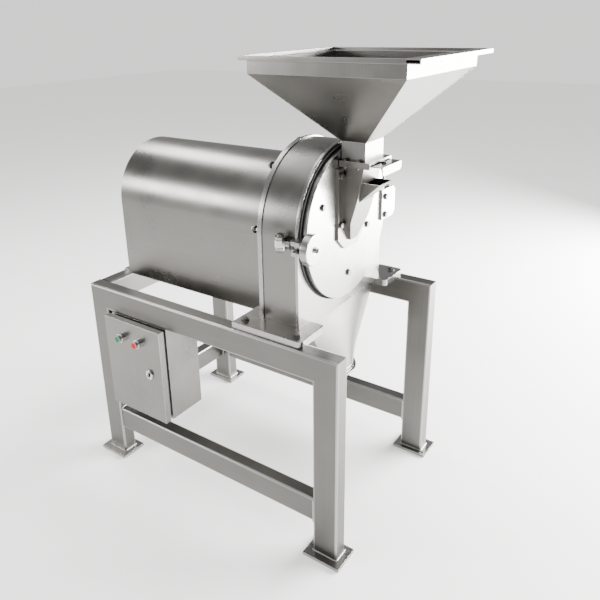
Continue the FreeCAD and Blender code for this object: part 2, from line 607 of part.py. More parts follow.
fan_space = rod("fan_space", "x", axis, ("fan_cover_rear + fan_cover_wall", "motor_rear + 1"),
                "motor_radius - 2 * fan_cover_wall")
grille = [box("fan_grille", ("fan_cover_rear - 1", "fan_cover_rear + fan_cover_wall + 1"),
              ("-grille_half", "grille_half"),
              (f"shaft_height + {level} * grille_pitch - grille_slot / 2",
               f"shaft_height + {level} * grille_pitch + grille_slot / 2"))
          for level in range(-3, 4)]
keep(cut("motor_fan_cover", fan_shell, fan_space, *grille), "motor_fan_cover")
fan_hub = rod("fan_hub", "x", axis, ("fan_rear", "fan_front"), "fan_hub_radius")
fan_disc = rod("fan_disc", "x", axis, ("fan_front - fan_sheet", "fan_front"), "fan_radius")
blade_reach = "(fan_radius - fan_gap)"
blades = [box("fan_blade", ("fan_rear", "fan_front"), (f"-{blade_reach}", blade_reach),
              ("shaft_height - blade_thick / 2", "shaft_height + blade_thick / 2")),
          box("fan_blade", ("fan_rear", "fan_front"), ("-blade_thick / 2", "blade_thick / 2"),
              (f"shaft_height - {blade_reach}", f"shaft_height + {blade_reach}"))]
keep(cut("motor_fan", join("motor_fan", fan_hub, fan_disc, *blades),
         rod("fan_bore", "x", axis, ("fan_rear - 1", "fan_front + 1"), "motor_shaft_radius")), "motor_fan")

base = box("motor_base", ("base_rear", back_rear),
           ("cover_sheet - cover_radius", "cover_radius - cover_sheet"),
           ("frame_height", base_top))
base_lip = box("base_lip", (f"{back_rear} - base_thick", back_rear), ("-base_lip_half", "base_lip_half"),
               (base_top, f"{base_top} + base_flange"))
risers = [box("riser", ("foot_rear", "foot_front"),
              (f"{side} * riser_spacing - riser_half", f"{side} * riser_spacing + riser_half"),
              (base_top, feet_bottom))
          for side in (1, -1)]
keep(cut("motor_base", join("motor_base", base, base_lip, *risers),
         *holes("base_hole", "z", base_bolts, ("frame_height - 1", f"{base_top} + 1"), "big"),
         *holes("lip_hole", "x", base_flange_bolts, (f"{back_rear} - base_thick - 1", f"{back_rear} + 1"))),
     "motor_base")

cover_bottom = f"({base_top} - cover_lap)"
cover_skin = cut("cover_skin", arch("cover", ("cover_rear", back_rear), "cover_radius", cover_bottom),
                 arch("cover_hollow", ("cover_rear - 1", f"{back_rear} + 1"), "cover_radius - cover_sheet",
                      f"{cover_bottom} - 1"))
cover_end = arch("cover_end", ("cover_rear", "cover_rear + cover_sheet"), "cover_radius - cover_sheet",
                 base_top)
vent_levels = [f"shaft_height + {index - VENTS // 2} * vent_pitch" for index in range(VENTS)]
vents = [box("cover_vent", ("cover_rear - 1", "cover_rear + cover_sheet + 1"),
             ("-vent_width", "vent_width"),
             (level, f"{level} + vent_height"))
         for level in vent_levels]
keep(cut("motor_cover", join("motor_cover", cover_skin, cover_end), *vents), "motor_cover")


# ---- discharge ----

def square_to_round(inset, overrun):
    """A loft from the chamber's rectangle down to the round spout."""
    rear, front = value(back_rear) + inset, value(plate_front) - inset
    half = value("outlet_half") - inset
    top, low = value("frame_height") + overrun, value("outlet_height") - overrun
    radius, centre = value("outlet_radius") - inset, value("outlet_x")
    square = [FreeCAD.Vector(rear, -half, top), FreeCAD.Vector(front, -half, top),
              FreeCAD.Vector(front, half, top), FreeCAD.Vector(rear, half, top)]
    upper = Part.makePolygon(square + square[:1])
    arcs = []
    for quarter in range(4):
        turns = [math.radians(225 + 90 * quarter + step) for step in (0, 45, 90)]
        arcs.append(Part.Arc(*[FreeCAD.Vector(centre + radius * math.cos(turn), radius * math.sin(turn),
                                              low)
                               for turn in turns]).toShape())
    return Part.makeLoft([Part.Wire(arcs), upper], True, True)


discharge = new("Part::Feature", "discharge_hopper")
discharge.Shape = square_to_round(0, 0).cut(square_to_round(value("sheet"), 0))
discharge.Placement = FreeCAD.Placement()
keep(discharge, "discharge_hopper")
spout = ("outlet_x", "0")
collar_low = "(outlet_height - collar_depth)"
collar = join("outlet_collar",
              rod("collar_pipe", "z", spout, (collar_low, "outlet_height"), "outlet_radius"),
              rod("collar_flange", "z", spout, (collar_low, f"{collar_low} + collar_lip"), "collar_flange"))
keep(cut("outlet_collar", collar, rod("collar_bore", "z", spout, (f"{collar_low} - 1", "outlet_height + 1"),
                                      "outlet_radius - sheet")), "outlet_collar")


# ---- door hinge ----

def hinge_lug(low, high):
    """A lug from the chamber's side out to the hinge pin."""
    arm = prism("hinge_lug", "XY_Plane", [
        ("lug_rear", "chamber_radius - lug_sink"), ("chamber_front - 2", "chamber_radius - lug_sink"),
        ("chamber_front - 2", f"{end_radius} + hole_gap"), ("hinge_x - 4", f"{end_radius} + hole_gap"),
        ("hinge_x + 6", "hinge_y - lug_inside"), ("hinge_x - 4", "hinge_y + lug_outside"),
    ], (low, high))
    eye = rod("hinge_eye", "z", ("hinge_x", "hinge_y"), (low, high), "hinge_radius")
    return cut("hinge_lug", join("hinge_lug", arm, eye),
               rod("lug_bore", "z", ("hinge_x", "hinge_y"), (f"{low} - 1", f"{high} + 1"),
                   "hinge_pin_radius"),
               arch("lug_seat", ("chamber_rear", "chamber_front"), "chamber_radius", "frame_height"))


keep(group("hinge_lugs", hinge_lug("hinge_low", "hinge_low + hinge_lug"),
           hinge_lug("hinge_high - hinge_lug", "hinge_high")), "hinge_lugs")
hinge_pin = join("hinge_pin",
                 rod("hinge_pin", "z", ("hinge_x", "hinge_y"), ("hinge_low - 3", "hinge_high"),
                     "hinge_pin_radius"),
                 rod("hinge_pin_head", "z", ("hinge_x", "hinge_y"), ("hinge_high", "hinge_high + 5"),
                     "hinge_pin_radius + 3"))
knuckle_z = ("hinge_low + hinge_lug + hinge_gap", "hinge_high - hinge_lug - hinge_gap")
strap_height = ("hinge_low + 1", "hinge_high + 5")
strap = prism("strap", "YZ_Plane", [
    ("strap_inner", strap_height[0]), ("strap_outer - strap_bevel", strap_height[0]),
    ("strap_outer", f"{strap_height[0]} + strap_bevel"),
    ("strap_outer", f"{strap_height[1]} - strap_bevel"),
    ("strap_outer - strap_bevel", strap_height[1]), ("strap_inner", strap_height[1]),
], (door_front, f"{door_front} + strap_thick"))
knuckle = rod("knuckle", "z", ("hinge_x", "hinge_y"), knuckle_z, "hinge_radius")
knuckle_web = box("knuckle_web", ("hinge_x + 2", door_front),
                  ("hinge_y - knuckle_web / 2", "hinge_y + knuckle_web / 2"), knuckle_z)
strap_bolts = [("strap_inner + strap_bolt_inset", f"{strap_height[1]} - hinge_lug - 6"),
               ("strap_inner + strap_bolt_inset", f"{strap_height[0]} + hinge_lug - 2")]
keep(cut("door_hinge_plate", join("door_hinge_plate", strap, knuckle, knuckle_web),
         rod("knuckle_bore", "z", ("hinge_x", "hinge_y"), ("hinge_low", "hinge_high"),
             "hinge_pin_radius + running_gap"),
         *holes("strap_hole", "x", strap_bolts, (f"{door_front} - 1", f"{door_front} + strap_thick + 1"))),
     "door_hinge_plate")


# ---- door ----

chute_bolts = [(f"{side} * chute_bolt_half", level) for side in (1, -1)
               for level in ("chute_bolt_high", "chute_bolt_low")]
face_bolts = [("-150", "shaft_height + 82"), ("108", "shaft_height - 35"), ("-5", "shaft_height - 156"),
              ("114", "shaft_height + 25")]
port = box("feed_port", ("door_rear - 1", f"{door_front} + strap_thick + 1"), ("-port_half", "port_half"),
           ("port_bottom", "port_top"))
keep(cut("door_disc", rod("door_disc", "x", axis, ("door_rear", door_front), "door_radius"), port,
         *holes("door_hole", "x", chute_bolts + face_bolts + strap_bolts,
                ("door_rear - 1", f"{door_front} + 1"))),
     "door_disc")
keep(tube("door_seal", "x", axis, (f"{plate_front} + seal_gap", "door_rear"), "seal_outer", "seal_inner"),
     "door_seal")
fork = box("fork", ("hinge_x", "fork_front"), ("-fork_outer", "-fork_inner"),
           ("lock_height - fork_half", "lock_height + fork_half"))
fork_gap = box("fork_gap", ("hinge_x - 1", "fork_front + 1"), ("-fork_outer - 1", "-fork_root"),
               ("lock_height - fork_slot", "lock_height + fork_slot"))
keep(cut("door_fork", fork, fork_gap,
         rod("fork_seat", "x", axis, ("door_rear - 1", door_front), "door_radius"),
         rod("fork_seal_seat", "x", axis, ("door_rear - 8", "door_rear"), "seal_outer + 1")), "door_fork")


# ---- feed chute on the door ----

def chute_solid(name, wall, rear):
    """The chute from a rear face: its outside, or its inside when a wall is given."""
    tip = f"chute_tip_height + {wall}"
    side_view = prism(name + "_side", "XZ_Plane", [
        (rear, "chute_top"), (f"chute_reach - {wall}", "chute_top"),
        (f"chute_knee - {wall}", "chute_knee_height"),
        (f"chute_tip - {wall}", tip), (rear, tip),
    ], ("-chute_half", "chute_half"))
    front_view = prism(name + "_front", "YZ_Plane", [
        (f"{wall} - chute_half", "chute_top"), (f"chute_half - {wall}", "chute_top"),
        (f"chute_half - {wall}", "chute_waist"), (f"chute_tip_half - {wall}", tip),
        (f"{wall} - chute_tip_half", tip), (f"{wall} - chute_half", "chute_waist"),
    ], (f"{door_front} - 1", "chute_reach + 1"))
    return meet(name, side_view, front_view)


chute_flange = prism("chute_flange", "YZ_Plane", [
    ("-chute_flange_half", "chute_flange_top"), ("chute_flange_half", "chute_flange_top"),
    ("chute_flange_half", "chute_flange_waist"), ("chute_flange_tip", "chute_flange_low"),
    ("-chute_flange_tip", "chute_flange_low"), ("-chute_flange_half", "chute_flange_waist"),
], (door_front, f"{door_front} + strap_thick"))
lower_flange = box("lower_flange", ("gate_flange_rear + flange_step", "gate_flange_front"),
                   ("-gate_flange_half", "gate_flange_half"),
                   ("chute_top", slot_bottom))
guides = [box("gate_guide", ("gate_flange_rear + flange_step", "gate_flange_front"),
              span_y(side, "gate_flange_half - gate_guide", "gate_flange_half"),
              (slot_bottom, slot_top)) for side in (1, -1)]
air_hole = box("air_hole", ("chute_knee - 10", "chute_reach + 1"),
               ("sheet - scoop_half", "scoop_half - sheet"),
               ("scoop_low + 10", "scoop_top - 4"))
neck_space = box("neck_space", ("neck_rear + sheet", "neck_front - 2 * sheet"),
                 ("sheet - neck_half", "neck_half - sheet"),
                 ("chute_top - 1", f"{slot_bottom} + 1"))
neck_bolts = [(along, f"{side} * (gate_flange_half - gate_guide / 2)") for side in (1, -1)
              for along in ("neck_bolt_rear", "neck_bolt_front")]
chute_shell = join("feed_chute", chute_solid("chute", "0", door_front), chute_flange, lower_flange, *guides)
keep(cut("feed_chute", chute_shell, chute_solid("chute_hollow", "sheet", f"({door_front} - 1)"), port,
         air_hole,
         neck_space, *holes("chute_hole", "x", chute_bolts,
                            (f"{door_front} - 1", f"{door_front} + strap_thick + 1")),
         *holes("neck_hole", "z", neck_bolts, ("chute_top - 1", f"{slot_top} + 1"), "neck")), "feed_chute")

front_slope = "(chute_reach - chute_knee) / (chute_top - chute_knee_height)"
scoop_top_x = f"(chute_reach - (chute_top - scoop_top) * {front_slope})"
knee_slope = "(chute_knee - chute_tip) / (chute_knee_height - chute_tip_height)"
scoop_low_x = f"(chute_knee - (chute_knee_height - scoop_low) * {knee_slope})"
scoop_points = [(scoop_top_x, "scoop_top"), ("scoop_reach", "scoop_top"), (scoop_low_x, "scoop_low"),
                ("chute_knee", "chute_knee_height")]
scoop_skin = prism("scoop", "XZ_Plane", scoop_points, ("-scoop_half", "scoop_half"))
scoop_space = prism("scoop_space", "XZ_Plane", [
    (f"{scoop_top_x} - 9", "scoop_top + 5"), ("scoop_reach", "scoop_top + 5"),
    ("scoop_reach - sheet", "scoop_top"),
    (f"{scoop_low_x} + 1", "scoop_low + 5"), (f"{scoop_low_x} - 8", "scoop_low + 5"),
], ("sheet - scoop_half", "scoop_half - sheet"))
keep(cut("air_scoop", scoop_skin, scoop_space), "air_scoop")
on_door = [bolt("chute_bolt", "x", centre, f"{door_front} + strap_thick", 1, "strap_thick + door_thick")
           for centre in chute_bolts]
on_door += [bolt("strap_bolt", "x", centre, f"{door_front} + strap_thick", 1, "strap_thick + door_thick")
            for centre in strap_bolts]
on_door += [bolt("face_bolt", "x", centre, door_front, 1, "door_thick") for centre in face_bolts]
for centre in neck_bolts:
    through = bolt("neck_bolt", "z", centre, flange_top, 1, f"{flange_top} - chute_top + neck_head_thick",
                   "neck")
    nut = hexagon("neck_nut", "z", centre, ("chute_top - neck_head_thick", "chute_top"), "neck_head")
    on_door.append(join("neck_bolt", through, nut))
keep(group("door_bolts", *on_door), "door_bolts")

gate_low = f"({slot_bottom} + gate_clear)"
gate_high = f"({gate_low} + gate_thick)"
gate_half = "(gate_flange_half - gate_guide - gate_clear)"
gate_rear = "(gate_flange_rear + 8)"
gate_plate = box("gate_plate", (gate_rear, "gate_tab"), (f"-{gate_half}", gate_half), (gate_low, gate_high))
lip_x = ("gate_tab - gate_thick", "gate_tab")
lip_bend = f"{gate_high} - gate_lip + gate_lip_round"
lip_side = f"({gate_half} - gate_lip_round)"
lip = box("gate_lip", lip_x, (f"-{lip_side}", lip_side), (f"{gate_high} - gate_lip", gate_low))
lip_upper = box("gate_lip_upper", lip_x, (f"-{gate_half}", gate_half), (lip_bend, gate_low))
lip_rounds = [rod("gate_lip_round", "x", (f"{side} * {lip_side}", lip_bend), lip_x, "gate_lip_round")
              for side in (1, -1)]
gate = join("slide_gate", gate_plate, lip, lip_upper, *lip_rounds)
screw_centre = ("gate_screw_x", "0")
stop = join("gate_stop_screw",
            rod("stop_shank", "z", screw_centre, ("gate_screw_low", gate_low), "gate_screw_radius"),
            hexagon("stop_nut", "z", screw_centre, (f"{gate_low} - gate_nut_thick", gate_low), "gate_nut"))
stop_head = hexagon("stop_head", "z", screw_centre, (gate_high, f"{gate_high} + gate_nut_thick - 1"),
                    "gate_nut")
keep(group("slide_gate", gate, stop, stop_head), "slide_gate")


# ---- hopper ----

upper_flange = box("upper_flange", ("gate_flange_rear + flange_step", "gate_flange_front"),
                   ("-gate_flange_half", "gate_flange_half"),
                   (slot_top, flange_top))
neck = box("neck", ("neck_rear", "neck_front"), ("-neck_half", "neck_half"), (flange_top, "neck_top"))
funnel = frustum("funnel", ("neck_top", "band_bottom"), ("neck_rear", "neck_front", "neck_half"),
                 ("band_rear", "band_front", "band_half"))
band = box("band", ("band_rear", "band_front"), ("-band_half", "band_half"), ("band_bottom", "band_top"))
hollow_neck = box("neck_hollow", ("neck_rear + sheet", "neck_front - sheet"),
                  ("sheet - neck_half", "neck_half - sheet"),
                  (f"{slot_top} - 1", "neck_top"))
hollow_funnel = frustum("funnel_hollow", ("neck_top", "band_bottom"),
                        ("neck_rear + sheet", "neck_front - sheet", "neck_half - sheet"),
                        ("band_rear + sheet", "band_front - sheet", "band_half - sheet"))
hollow_band = box("band_hollow", ("band_rear + sheet", "band_front - sheet"),
                  ("sheet - band_half", "band_half - sheet"),
                  ("band_bottom", "band_top + 1"))
keep(cut("hopper", join("hopper", upper_flange, neck, funnel, band), hollow_neck, hollow_funnel,
         hollow_band,
         *holes("neck_hole", "z", neck_bolts, (f"{slot_top} - 1", f"{flange_top} + 1"), "neck")), "hopper")
rim_outer = box("rim", ("band_rear - rim_out", "band_front + rim_fold"),
                ("-band_half - rim_out", "band_half + rim_out"),
                ("band_top", "band_top + rim_height"))
rim_mouth = box("rim_mouth", ("band_rear + sheet", "band_front - sheet"),
                ("sheet - band_half", "band_half - sheet"),
                ("band_top - 1", "band_top + rim_height + 1"))
rim_recess = box("rim_recess", ("band_rear - rim_out + sheet", "band_front"),
                 ("sheet - band_half - rim_out", "band_half + rim_out - sheet"),
                 ("band_top + sheet", "band_top + rim_height + 1"))
rim_fold_space = box("rim_fold_space", ("band_front + sheet", "band_front + rim_fold - sheet"),
                     ("-band_half - rim_out - 1", "band_half + rim_out + 1"),
                     ("band_top + sheet", "band_top + rim_height - sheet"))
keep(cut("hopper_rim", rim_outer, rim_mouth, rim_recess, rim_fold_space), "hopper_rim")


# ---- swing bolt that locks the door ----

def lock_lug(low, high):
    """A lug from the chamber's side out to the swing bolt's pin."""
    arm = box("lock_arm", ("lock_x - lock_lug_half", "lock_x + lock_lug_half"),
              ("-lock_y", "12 - chamber_radius"), (low, high))
    eye = rod("lock_eye", "z", ("lock_x", "-lock_y"), (low, high), "lock_lug_half")
    return cut("lock_lug", join("lock_lug", arm, eye),
               rod("lock_bore", "z", ("lock_x", "-lock_y"), (f"{low} - 1", f"{high} + 1"),
                   "lock_pin_radius"),
               arch("lock_seat", ("chamber_rear", "chamber_front"), "chamber_radius", "frame_height"))


lock_low, lock_high = "lock_height - lock_half_gap", "lock_height + lock_half_gap"
keep(group("lock_lugs", lock_lug(f"{lock_low} - lock_lug", lock_low),
           lock_lug(lock_high, f"{lock_high} + lock_lug")),
     "lock_lugs")
lock_pin = join("lock_pin",
                rod("lock_pin", "z", ("lock_x", "-lock_y"),
                    (f"{lock_low} - lock_lug - 3", f"{lock_high} + lock_lug"),
                          "lock_pin_radius"),
                rod("lock_pin_head", "z", ("lock_x", "-lock_y"),
                    (f"{lock_high} + lock_lug", f"{lock_high} + lock_lug + 4"),
                    "lock_pin_radius + 3"))
keep(group("pivot_pins", hinge_pin, lock_pin), "pivot_pins")
eye = rod("bolt_eye", "z", ("lock_x", "-lock_y"), ("lock_height - eye_half", "lock_height + eye_half"),
          "eye_radius")
stud = rod("stud", "x", ("-lock_y", "lock_height"), ("lock_x", "stud_front"), "stud_radius")
keep(cut("swing_bolt", join("swing_bolt", eye, stud),
         rod("eye_bore", "z", ("lock_x", "-lock_y"),
             ("lock_height - eye_half - 1", "lock_height + eye_half + 1"),
             "lock_pin_radius + running_gap")), "swing_bolt")
stud_axis = ("-lock_y", "lock_height")
wheel = join("lock_handwheel",
             rod("wheel_rim", "x", stud_axis, ("wheel_rear", "wheel_front"), "wheel_radius"),
             rod("wheel_hub", "x", stud_axis, ("fork_front + 0.5", "wheel_rear"), "wheel_hub"))
keep(cut("lock_handwheel", wheel,
         rod("wheel_bore", "x", stud_axis, ("fork_front", "wheel_front + 1"), "stud_radius + running_gap")),
     "lock_handwheel")


# ---- control box ----

neck_face = "(box_face - box_door_thick - box_door_gap)"
body_face = f"({neck_face} - box_neck)"
box_skin = join("control_box",
                box("box_body", ("box_rear", "box_front"), (f"-{body_face}", "-box_back"),
                    ("box_low", rail_bottom)),
                box("box_collar", ("box_rear + box_gutter", "box_front - box_gutter"),
                    (f"-{neck_face}", f"-{body_face}"),
                    ("box_low + box_gutter", f"{rail_bottom} - box_gutter")))
box_space = box("box_space", ("box_rear + box_gutter + box_sheet", "box_front - box_gutter - box_sheet"),
                (f"-{neck_face} - 1", "-box_back - box_sheet"),
                ("box_low + box_gutter + box_sheet", f"{rail_bottom} - box_gutter - box_sheet"))
box_floor = "(box_low + box_gutter + box_sheet)"
gland_places = [(f"(box_rear + box_front + {side} * gland_spacing) / 2", "-(box_face + box_back) / 2")
                for side in (-1, 1)]
gland_bores = [rod("gland_hole", "z", centre, ("box_low - 1", f"{box_floor} + 1"), "gland_radius - 2")
               for centre in gland_places]
keep(cut("control_box_body", box_skin, box_space, *gland_bores), "control_box_body")
glands = []
for centre in gland_places:
    gland_solid = join("gland",
                       rod("gland_thread", "z", centre, ("box_low - 6", box_floor), "gland_radius - 2"),
                       hexagon("gland_nut", "z", centre, ("box_low - gland_nut_height", "box_low"),
                               "gland_radius + 3"))
    glands.append(cut("gland", gland_solid,
                      rod("gland_bore", "z", centre, ("box_low - gland_nut_height - 1", f"{box_floor} + 1"),
                          "gland_radius / 2")))
keep(group("cable_glands", *glands), "cable_glands")
keep(box("control_gear", ("box_rear + gear_inset", "box_front - gear_inset"),
         ("-box_back - box_sheet - gear_depth", "-box_back - box_sheet"),
         ("box_low + gear_below", f"{rail_bottom} - gear_above")), "control_gear")

button_x = {"green": "button_green_x", "red": "button_red_x"}
door_inside = "(box_face - box_door_thick)"
door_skin = box("box_door", ("box_rear", "box_front"), ("-box_face", f"-{door_inside}"),
                ("box_low", rail_bottom))
door_space = box("box_door_space", ("box_rear + box_sheet", "box_front - box_sheet"),
                 ("box_sheet - box_face", f"1 - {door_inside}"),
                 ("box_low + box_sheet", f"{rail_bottom} - box_sheet"))
door_drills = [rod("button_hole", "y", (centre, "button_height"),
                   ("-box_face - 1", "-box_face + box_sheet + 1"),
                   "bezel_radius") for centre in button_x.values()]
door_drills.append(rod("cam_hole", "y", ("cam_x", "cam_height"),
                       ("-box_face - 1", "-box_face + box_sheet + 1"), "cam_radius + running_gap"))
keep(cut("control_box_door", door_skin, door_space, *door_drills), "control_box_door")
button_bodies = []
for centre in button_x.values():
    bezel = rod("bezel", "y", (centre, "button_height"),
                ("-box_face - bezel_depth", "-box_face + box_sheet"), "bezel_radius")
    block = box("block", (f"{centre} - button_block / 2", f"{centre} + button_block / 2"),
                ("-box_face + box_sheet", "-box_face + box_sheet + 50"),
                ("button_height - button_block / 2", "button_height + button_block / 2"))
    bore = rod("block_bore", "y", (centre, "button_height"),
               ("-box_face - bezel_depth - 1", "-box_face + box_sheet + 30"),
               "button_radius + button_gap")
    button_bodies.append(cut("button_body", join("button_body", bezel, block), bore))
keep(group("button_bodies", *button_bodies), "button_bodies")
for colour, centre in button_x.items():
    cap = join(f"{colour}_button",
               rod("button_cap", "y", (centre, "button_height"),
                   ("-box_face - button_proud", "-box_face + box_sheet + 12"),
                                       "button_radius"),
               rod("button_stem", "y", (centre, "button_height"),
                   ("-box_face + box_sheet", "-box_face + box_sheet + 20"), "button_stem"))
    keep(cap, f"{colour}_button")
cam = join("cam_lock",
           rod("cam_ring", "y", ("cam_x", "cam_height"), ("-box_face - cam_ring", "-box_face"),
               "cam_radius + cam_ring"),
           rod("cam_barrel", "y", ("cam_x", "cam_height"), ("-box_face", "-box_face + box_sheet + 18"),
               "cam_radius"),
           box("cam_tongue", ("cam_x - 8", "cam_x + 8"),
               ("-box_face + box_sheet + 12", "-box_face + box_sheet + 15"),
               ("cam_height", "cam_height + cam_length - 5")))
keep(cam, "cam_lock")

doc.recompute()
faults = [item.Name for item in doc.Objects if "Invalid" in item.State or "Error" in item.State]
for item in finished:
    if item.Shape.isNull() or not item.Shape.isValid() or not item.Shape.Solids:
        faults.append(f"{item.Label}: bad shape")
if faults:
    raise RuntimeError("these objects failed: " + ", ".join(faults))

os.makedirs("parts", exist_ok=True)
for item in finished:
    item.Shape.exportStep(f"parts/{item.Label}.step")
print(len(finished), "parts written")
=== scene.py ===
import json
import math

import bmesh
import bpy
from bpy.props import FloatProperty, FloatVectorProperty, PointerProperty
from mathutils import Matrix, Vector


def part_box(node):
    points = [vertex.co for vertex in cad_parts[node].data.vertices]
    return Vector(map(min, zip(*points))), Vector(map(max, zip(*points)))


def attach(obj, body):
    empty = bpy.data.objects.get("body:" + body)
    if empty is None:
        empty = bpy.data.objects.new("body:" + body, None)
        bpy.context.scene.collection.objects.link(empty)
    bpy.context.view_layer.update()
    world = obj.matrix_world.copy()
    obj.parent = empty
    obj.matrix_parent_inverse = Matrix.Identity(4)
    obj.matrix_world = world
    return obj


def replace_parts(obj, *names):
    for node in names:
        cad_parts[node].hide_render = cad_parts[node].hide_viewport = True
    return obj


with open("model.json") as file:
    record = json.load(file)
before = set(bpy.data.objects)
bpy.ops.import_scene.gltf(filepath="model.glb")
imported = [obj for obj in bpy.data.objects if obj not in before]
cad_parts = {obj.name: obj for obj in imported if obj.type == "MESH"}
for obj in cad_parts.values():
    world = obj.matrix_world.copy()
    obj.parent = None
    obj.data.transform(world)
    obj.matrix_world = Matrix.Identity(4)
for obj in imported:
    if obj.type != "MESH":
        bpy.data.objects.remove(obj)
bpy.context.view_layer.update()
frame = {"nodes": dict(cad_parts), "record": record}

bl_info = {
    "name": "Hammer Mill",
    "version": (1, 0, 0),
    "blender": (4, 5, 0),
    "location": "View3D > Sidebar > Mill",
    "description": "Finishes a stainless hammer mill on its stand, from its sheet metal to its controls",
    "category": "Object",
}

# what the frame says: the body and the slot of each node, and each joint's place
BODY_OF = {node: body for body, nodes in frame["record"]["behaviour"]["bodies"].items() for node in nodes}
SLOT_OF = {part["node"]: part["material_slot"] for part in frame["record"]["subparts"]}
PIVOTS = {joint["name"]: Vector(joint["pos_m"]) for joint in frame["record"]["behaviour"]["joints"]
          if "pos_m" in joint}

# stretch of the grinding marks along each axis, and an even one for small pieces
GRAIN = {
    "x": (4.0, 700.0, 700.0),
    "y": (700.0, 4.0, 700.0),
    "z": (700.0, 700.0, 4.0),
    "fine": (260.0, 260.0, 260.0),
}

# shortest edge that counts as a tube's long corner
LONG_EDGE = 0.3

# the hopper's neck and band, measured from its box and from its rim
NECK_INSET_REAR = 0.186
NECK_INSET_FRONT = 0.190
NECK_HALF = 0.053
NECK_BELOW_RIM = 0.221
BAND_BELOW_RIM = 0.034
SEAM_RADIUS = 0.0011
RIVETS_ACROSS = (-0.035, 0.078)
RIVET_BELOW_TOP = 0.006

# fasteners of the lock and of the rear flange
PIVOT_HEAD = (0.0098, 0.0066)
LOCK_NUT = (0.0138, 0.0085)
LOCK_NUT_BEHIND_FORK = 0.0125
# radius of the black disc on the swing bolt's end: painted shade in place of its socket hole
SOCKET_SHADE_RADIUS = 0.0074
FLANGE_NUT = (0.0092, 0.0075)
FLANGE_NUT_STAND = 0.0175
THREAD_ROOT = 0.0078
THREAD_CREST = 0.0084

# the control box's hinges: distance from the door's ends, and from one knuckle to the next
HINGE_INSET = 0.06
KNUCKLE_STEP = 0.0145
FIRST_KNUCKLE_BELOW = 0.021

# depth of a button's coloured cap, and of the metal at the front of the button's body
CAP_DEPTH = 0.0028
BEZEL_DEPTH = 0.009

# the camera: azimuth, elevation and roll in degrees, its place, its lens and its shift
CAMERA_TURN = (35.498, 19.799, -1.2115)
CAMERA_PLACE = (1.20256, -1.54646, 1.50030)
SENSOR_WIDTH = 36.0
FOCAL_LENGTH = 37.69
LENS_SHIFT = (0.0249, -0.0919)

# brightness of the studio's surround, and of what the metal mirrors of it
SURROUND = 1.25
MIRRORED_SURROUND = 0.4
FLOOR_HALF = 14.0

# name, place, aim, size and power of each soft light
LIGHTS = (
    ("overhead", (0.2, 0.2, 4.6), (0.0, 0.0, 0.0), (5.5, 5.5), 190.0),
    ("right", (2.2, 2.5, 0.9), (0.2, 0.0, 0.7), (2.8, 1.8), 1100.0),
    ("left_band", (-2.3, -2.4, 1.75), (-0.1, 0.0, 0.95), (1.1, 0.7), 75.0),
    ("top_band", (-2.2, 0.6, 3.3), (-0.1, 0.0, 0.95), (0.9, 0.9), 60.0),
)


# ---------------------------------------------------------------- sizes and colours

def length(name, description, default):
    """A size in metres that a user may change."""
    return FloatProperty(name=name, description=description, default=default, min=0.0, unit="LENGTH")


def colour(name, description, default):
    """A colour that a user may change."""
    return FloatVectorProperty(name=name, description=description, default=default, subtype="COLOR",
                               size=3, min=0.0, max=1.0)


class MillSizes(bpy.types.PropertyGroup):
    """Small sizes that finish the metalwork."""
    tube_round: length("Tube corner", "Outside corner radius of the stand's tube", 0.006)
    plate_round: length("Plate edge", "Rounding of plate edges", 0.0012)
    sheet_round: length("Sheet edge", "Rounding of sheet edges and bends", 0.0008)
    weld_radius: length("Weld bead", "Half width of a ground weld bead", 0.0028)
    washer_thick: length("Washer", "Thickness of a washer under a hex head", 0.002)
    thread_pitch: length("Thread pitch", "Pitch of the swing bolt's thread", 0.0025)


class MillColours(bpy.types.PropertyGroup):
    """Base colours of the finishes."""
    sheet: colour("Sheet", "Brushed stainless sheet", (0.19, 0.185, 0.174))
    tube: colour("Tube", "Brushed stainless tube", (0.135, 0.131, 0.122))
    plate: colour("Plate", "Stainless plate", (0.33, 0.323, 0.31))
    bolt: colour("Bolts", "Plain stainless fasteners", (0.14, 0.135, 0.13))
    ground: colour("Ground steel", "Shafts, pins and studs", (0.58, 0.58, 0.57))
    hard: colour("Wear steel", "Hammers, liner and screen", (0.30, 0.29, 0.28))
    casting: colour("Casting", "Painted cast iron", (0.13, 0.14, 0.15))
    enamel: colour("Motor enamel", "Motor paint", (0.06, 0.13, 0.22))
    rubber: colour("Rubber", "Door seal and coupling", (0.012, 0.012, 0.012))
    plastic: colour("Black plastic", "Button bodies and glands", (0.025, 0.025, 0.026))
    green: colour("Green", "Start button", (0.0, 0.17, 0.07))
    red: colour("Red", "Stop button", (0.42, 0.006, 0.006))
    floor: colour("Floor", "Studio floor", (0.93, 0.93, 0.92))


# ---------------------------------------------------------------- shader groups and materials

def new_group(name, inputs, outputs):
    """An empty shader node group with its sockets. Each socket is (name, type, default)."""
    group = bpy.data.node_groups.new(name, "ShaderNodeTree")
    for title, kind, default in inputs:
        socket = group.interface.new_socket(title, in_out="INPUT", socket_type=kind)
        if default is not None:
            socket.default_value = default
    for title, kind in outputs:
        group.interface.new_socket(title, in_out="OUTPUT", socket_type=kind)
    return group, group.nodes.new("NodeGroupInput"), group.nodes.new("NodeGroupOutput")


def node(tree, kind, **settings):
    """A node with its settings and plain input values."""
    made = tree.nodes.new(kind)
    values = settings.pop("values", {})
    for key, setting in settings.items():
        setattr(made, key, setting)
    for key, setting in values.items():
        made.inputs[key].default_value = setting
    return made


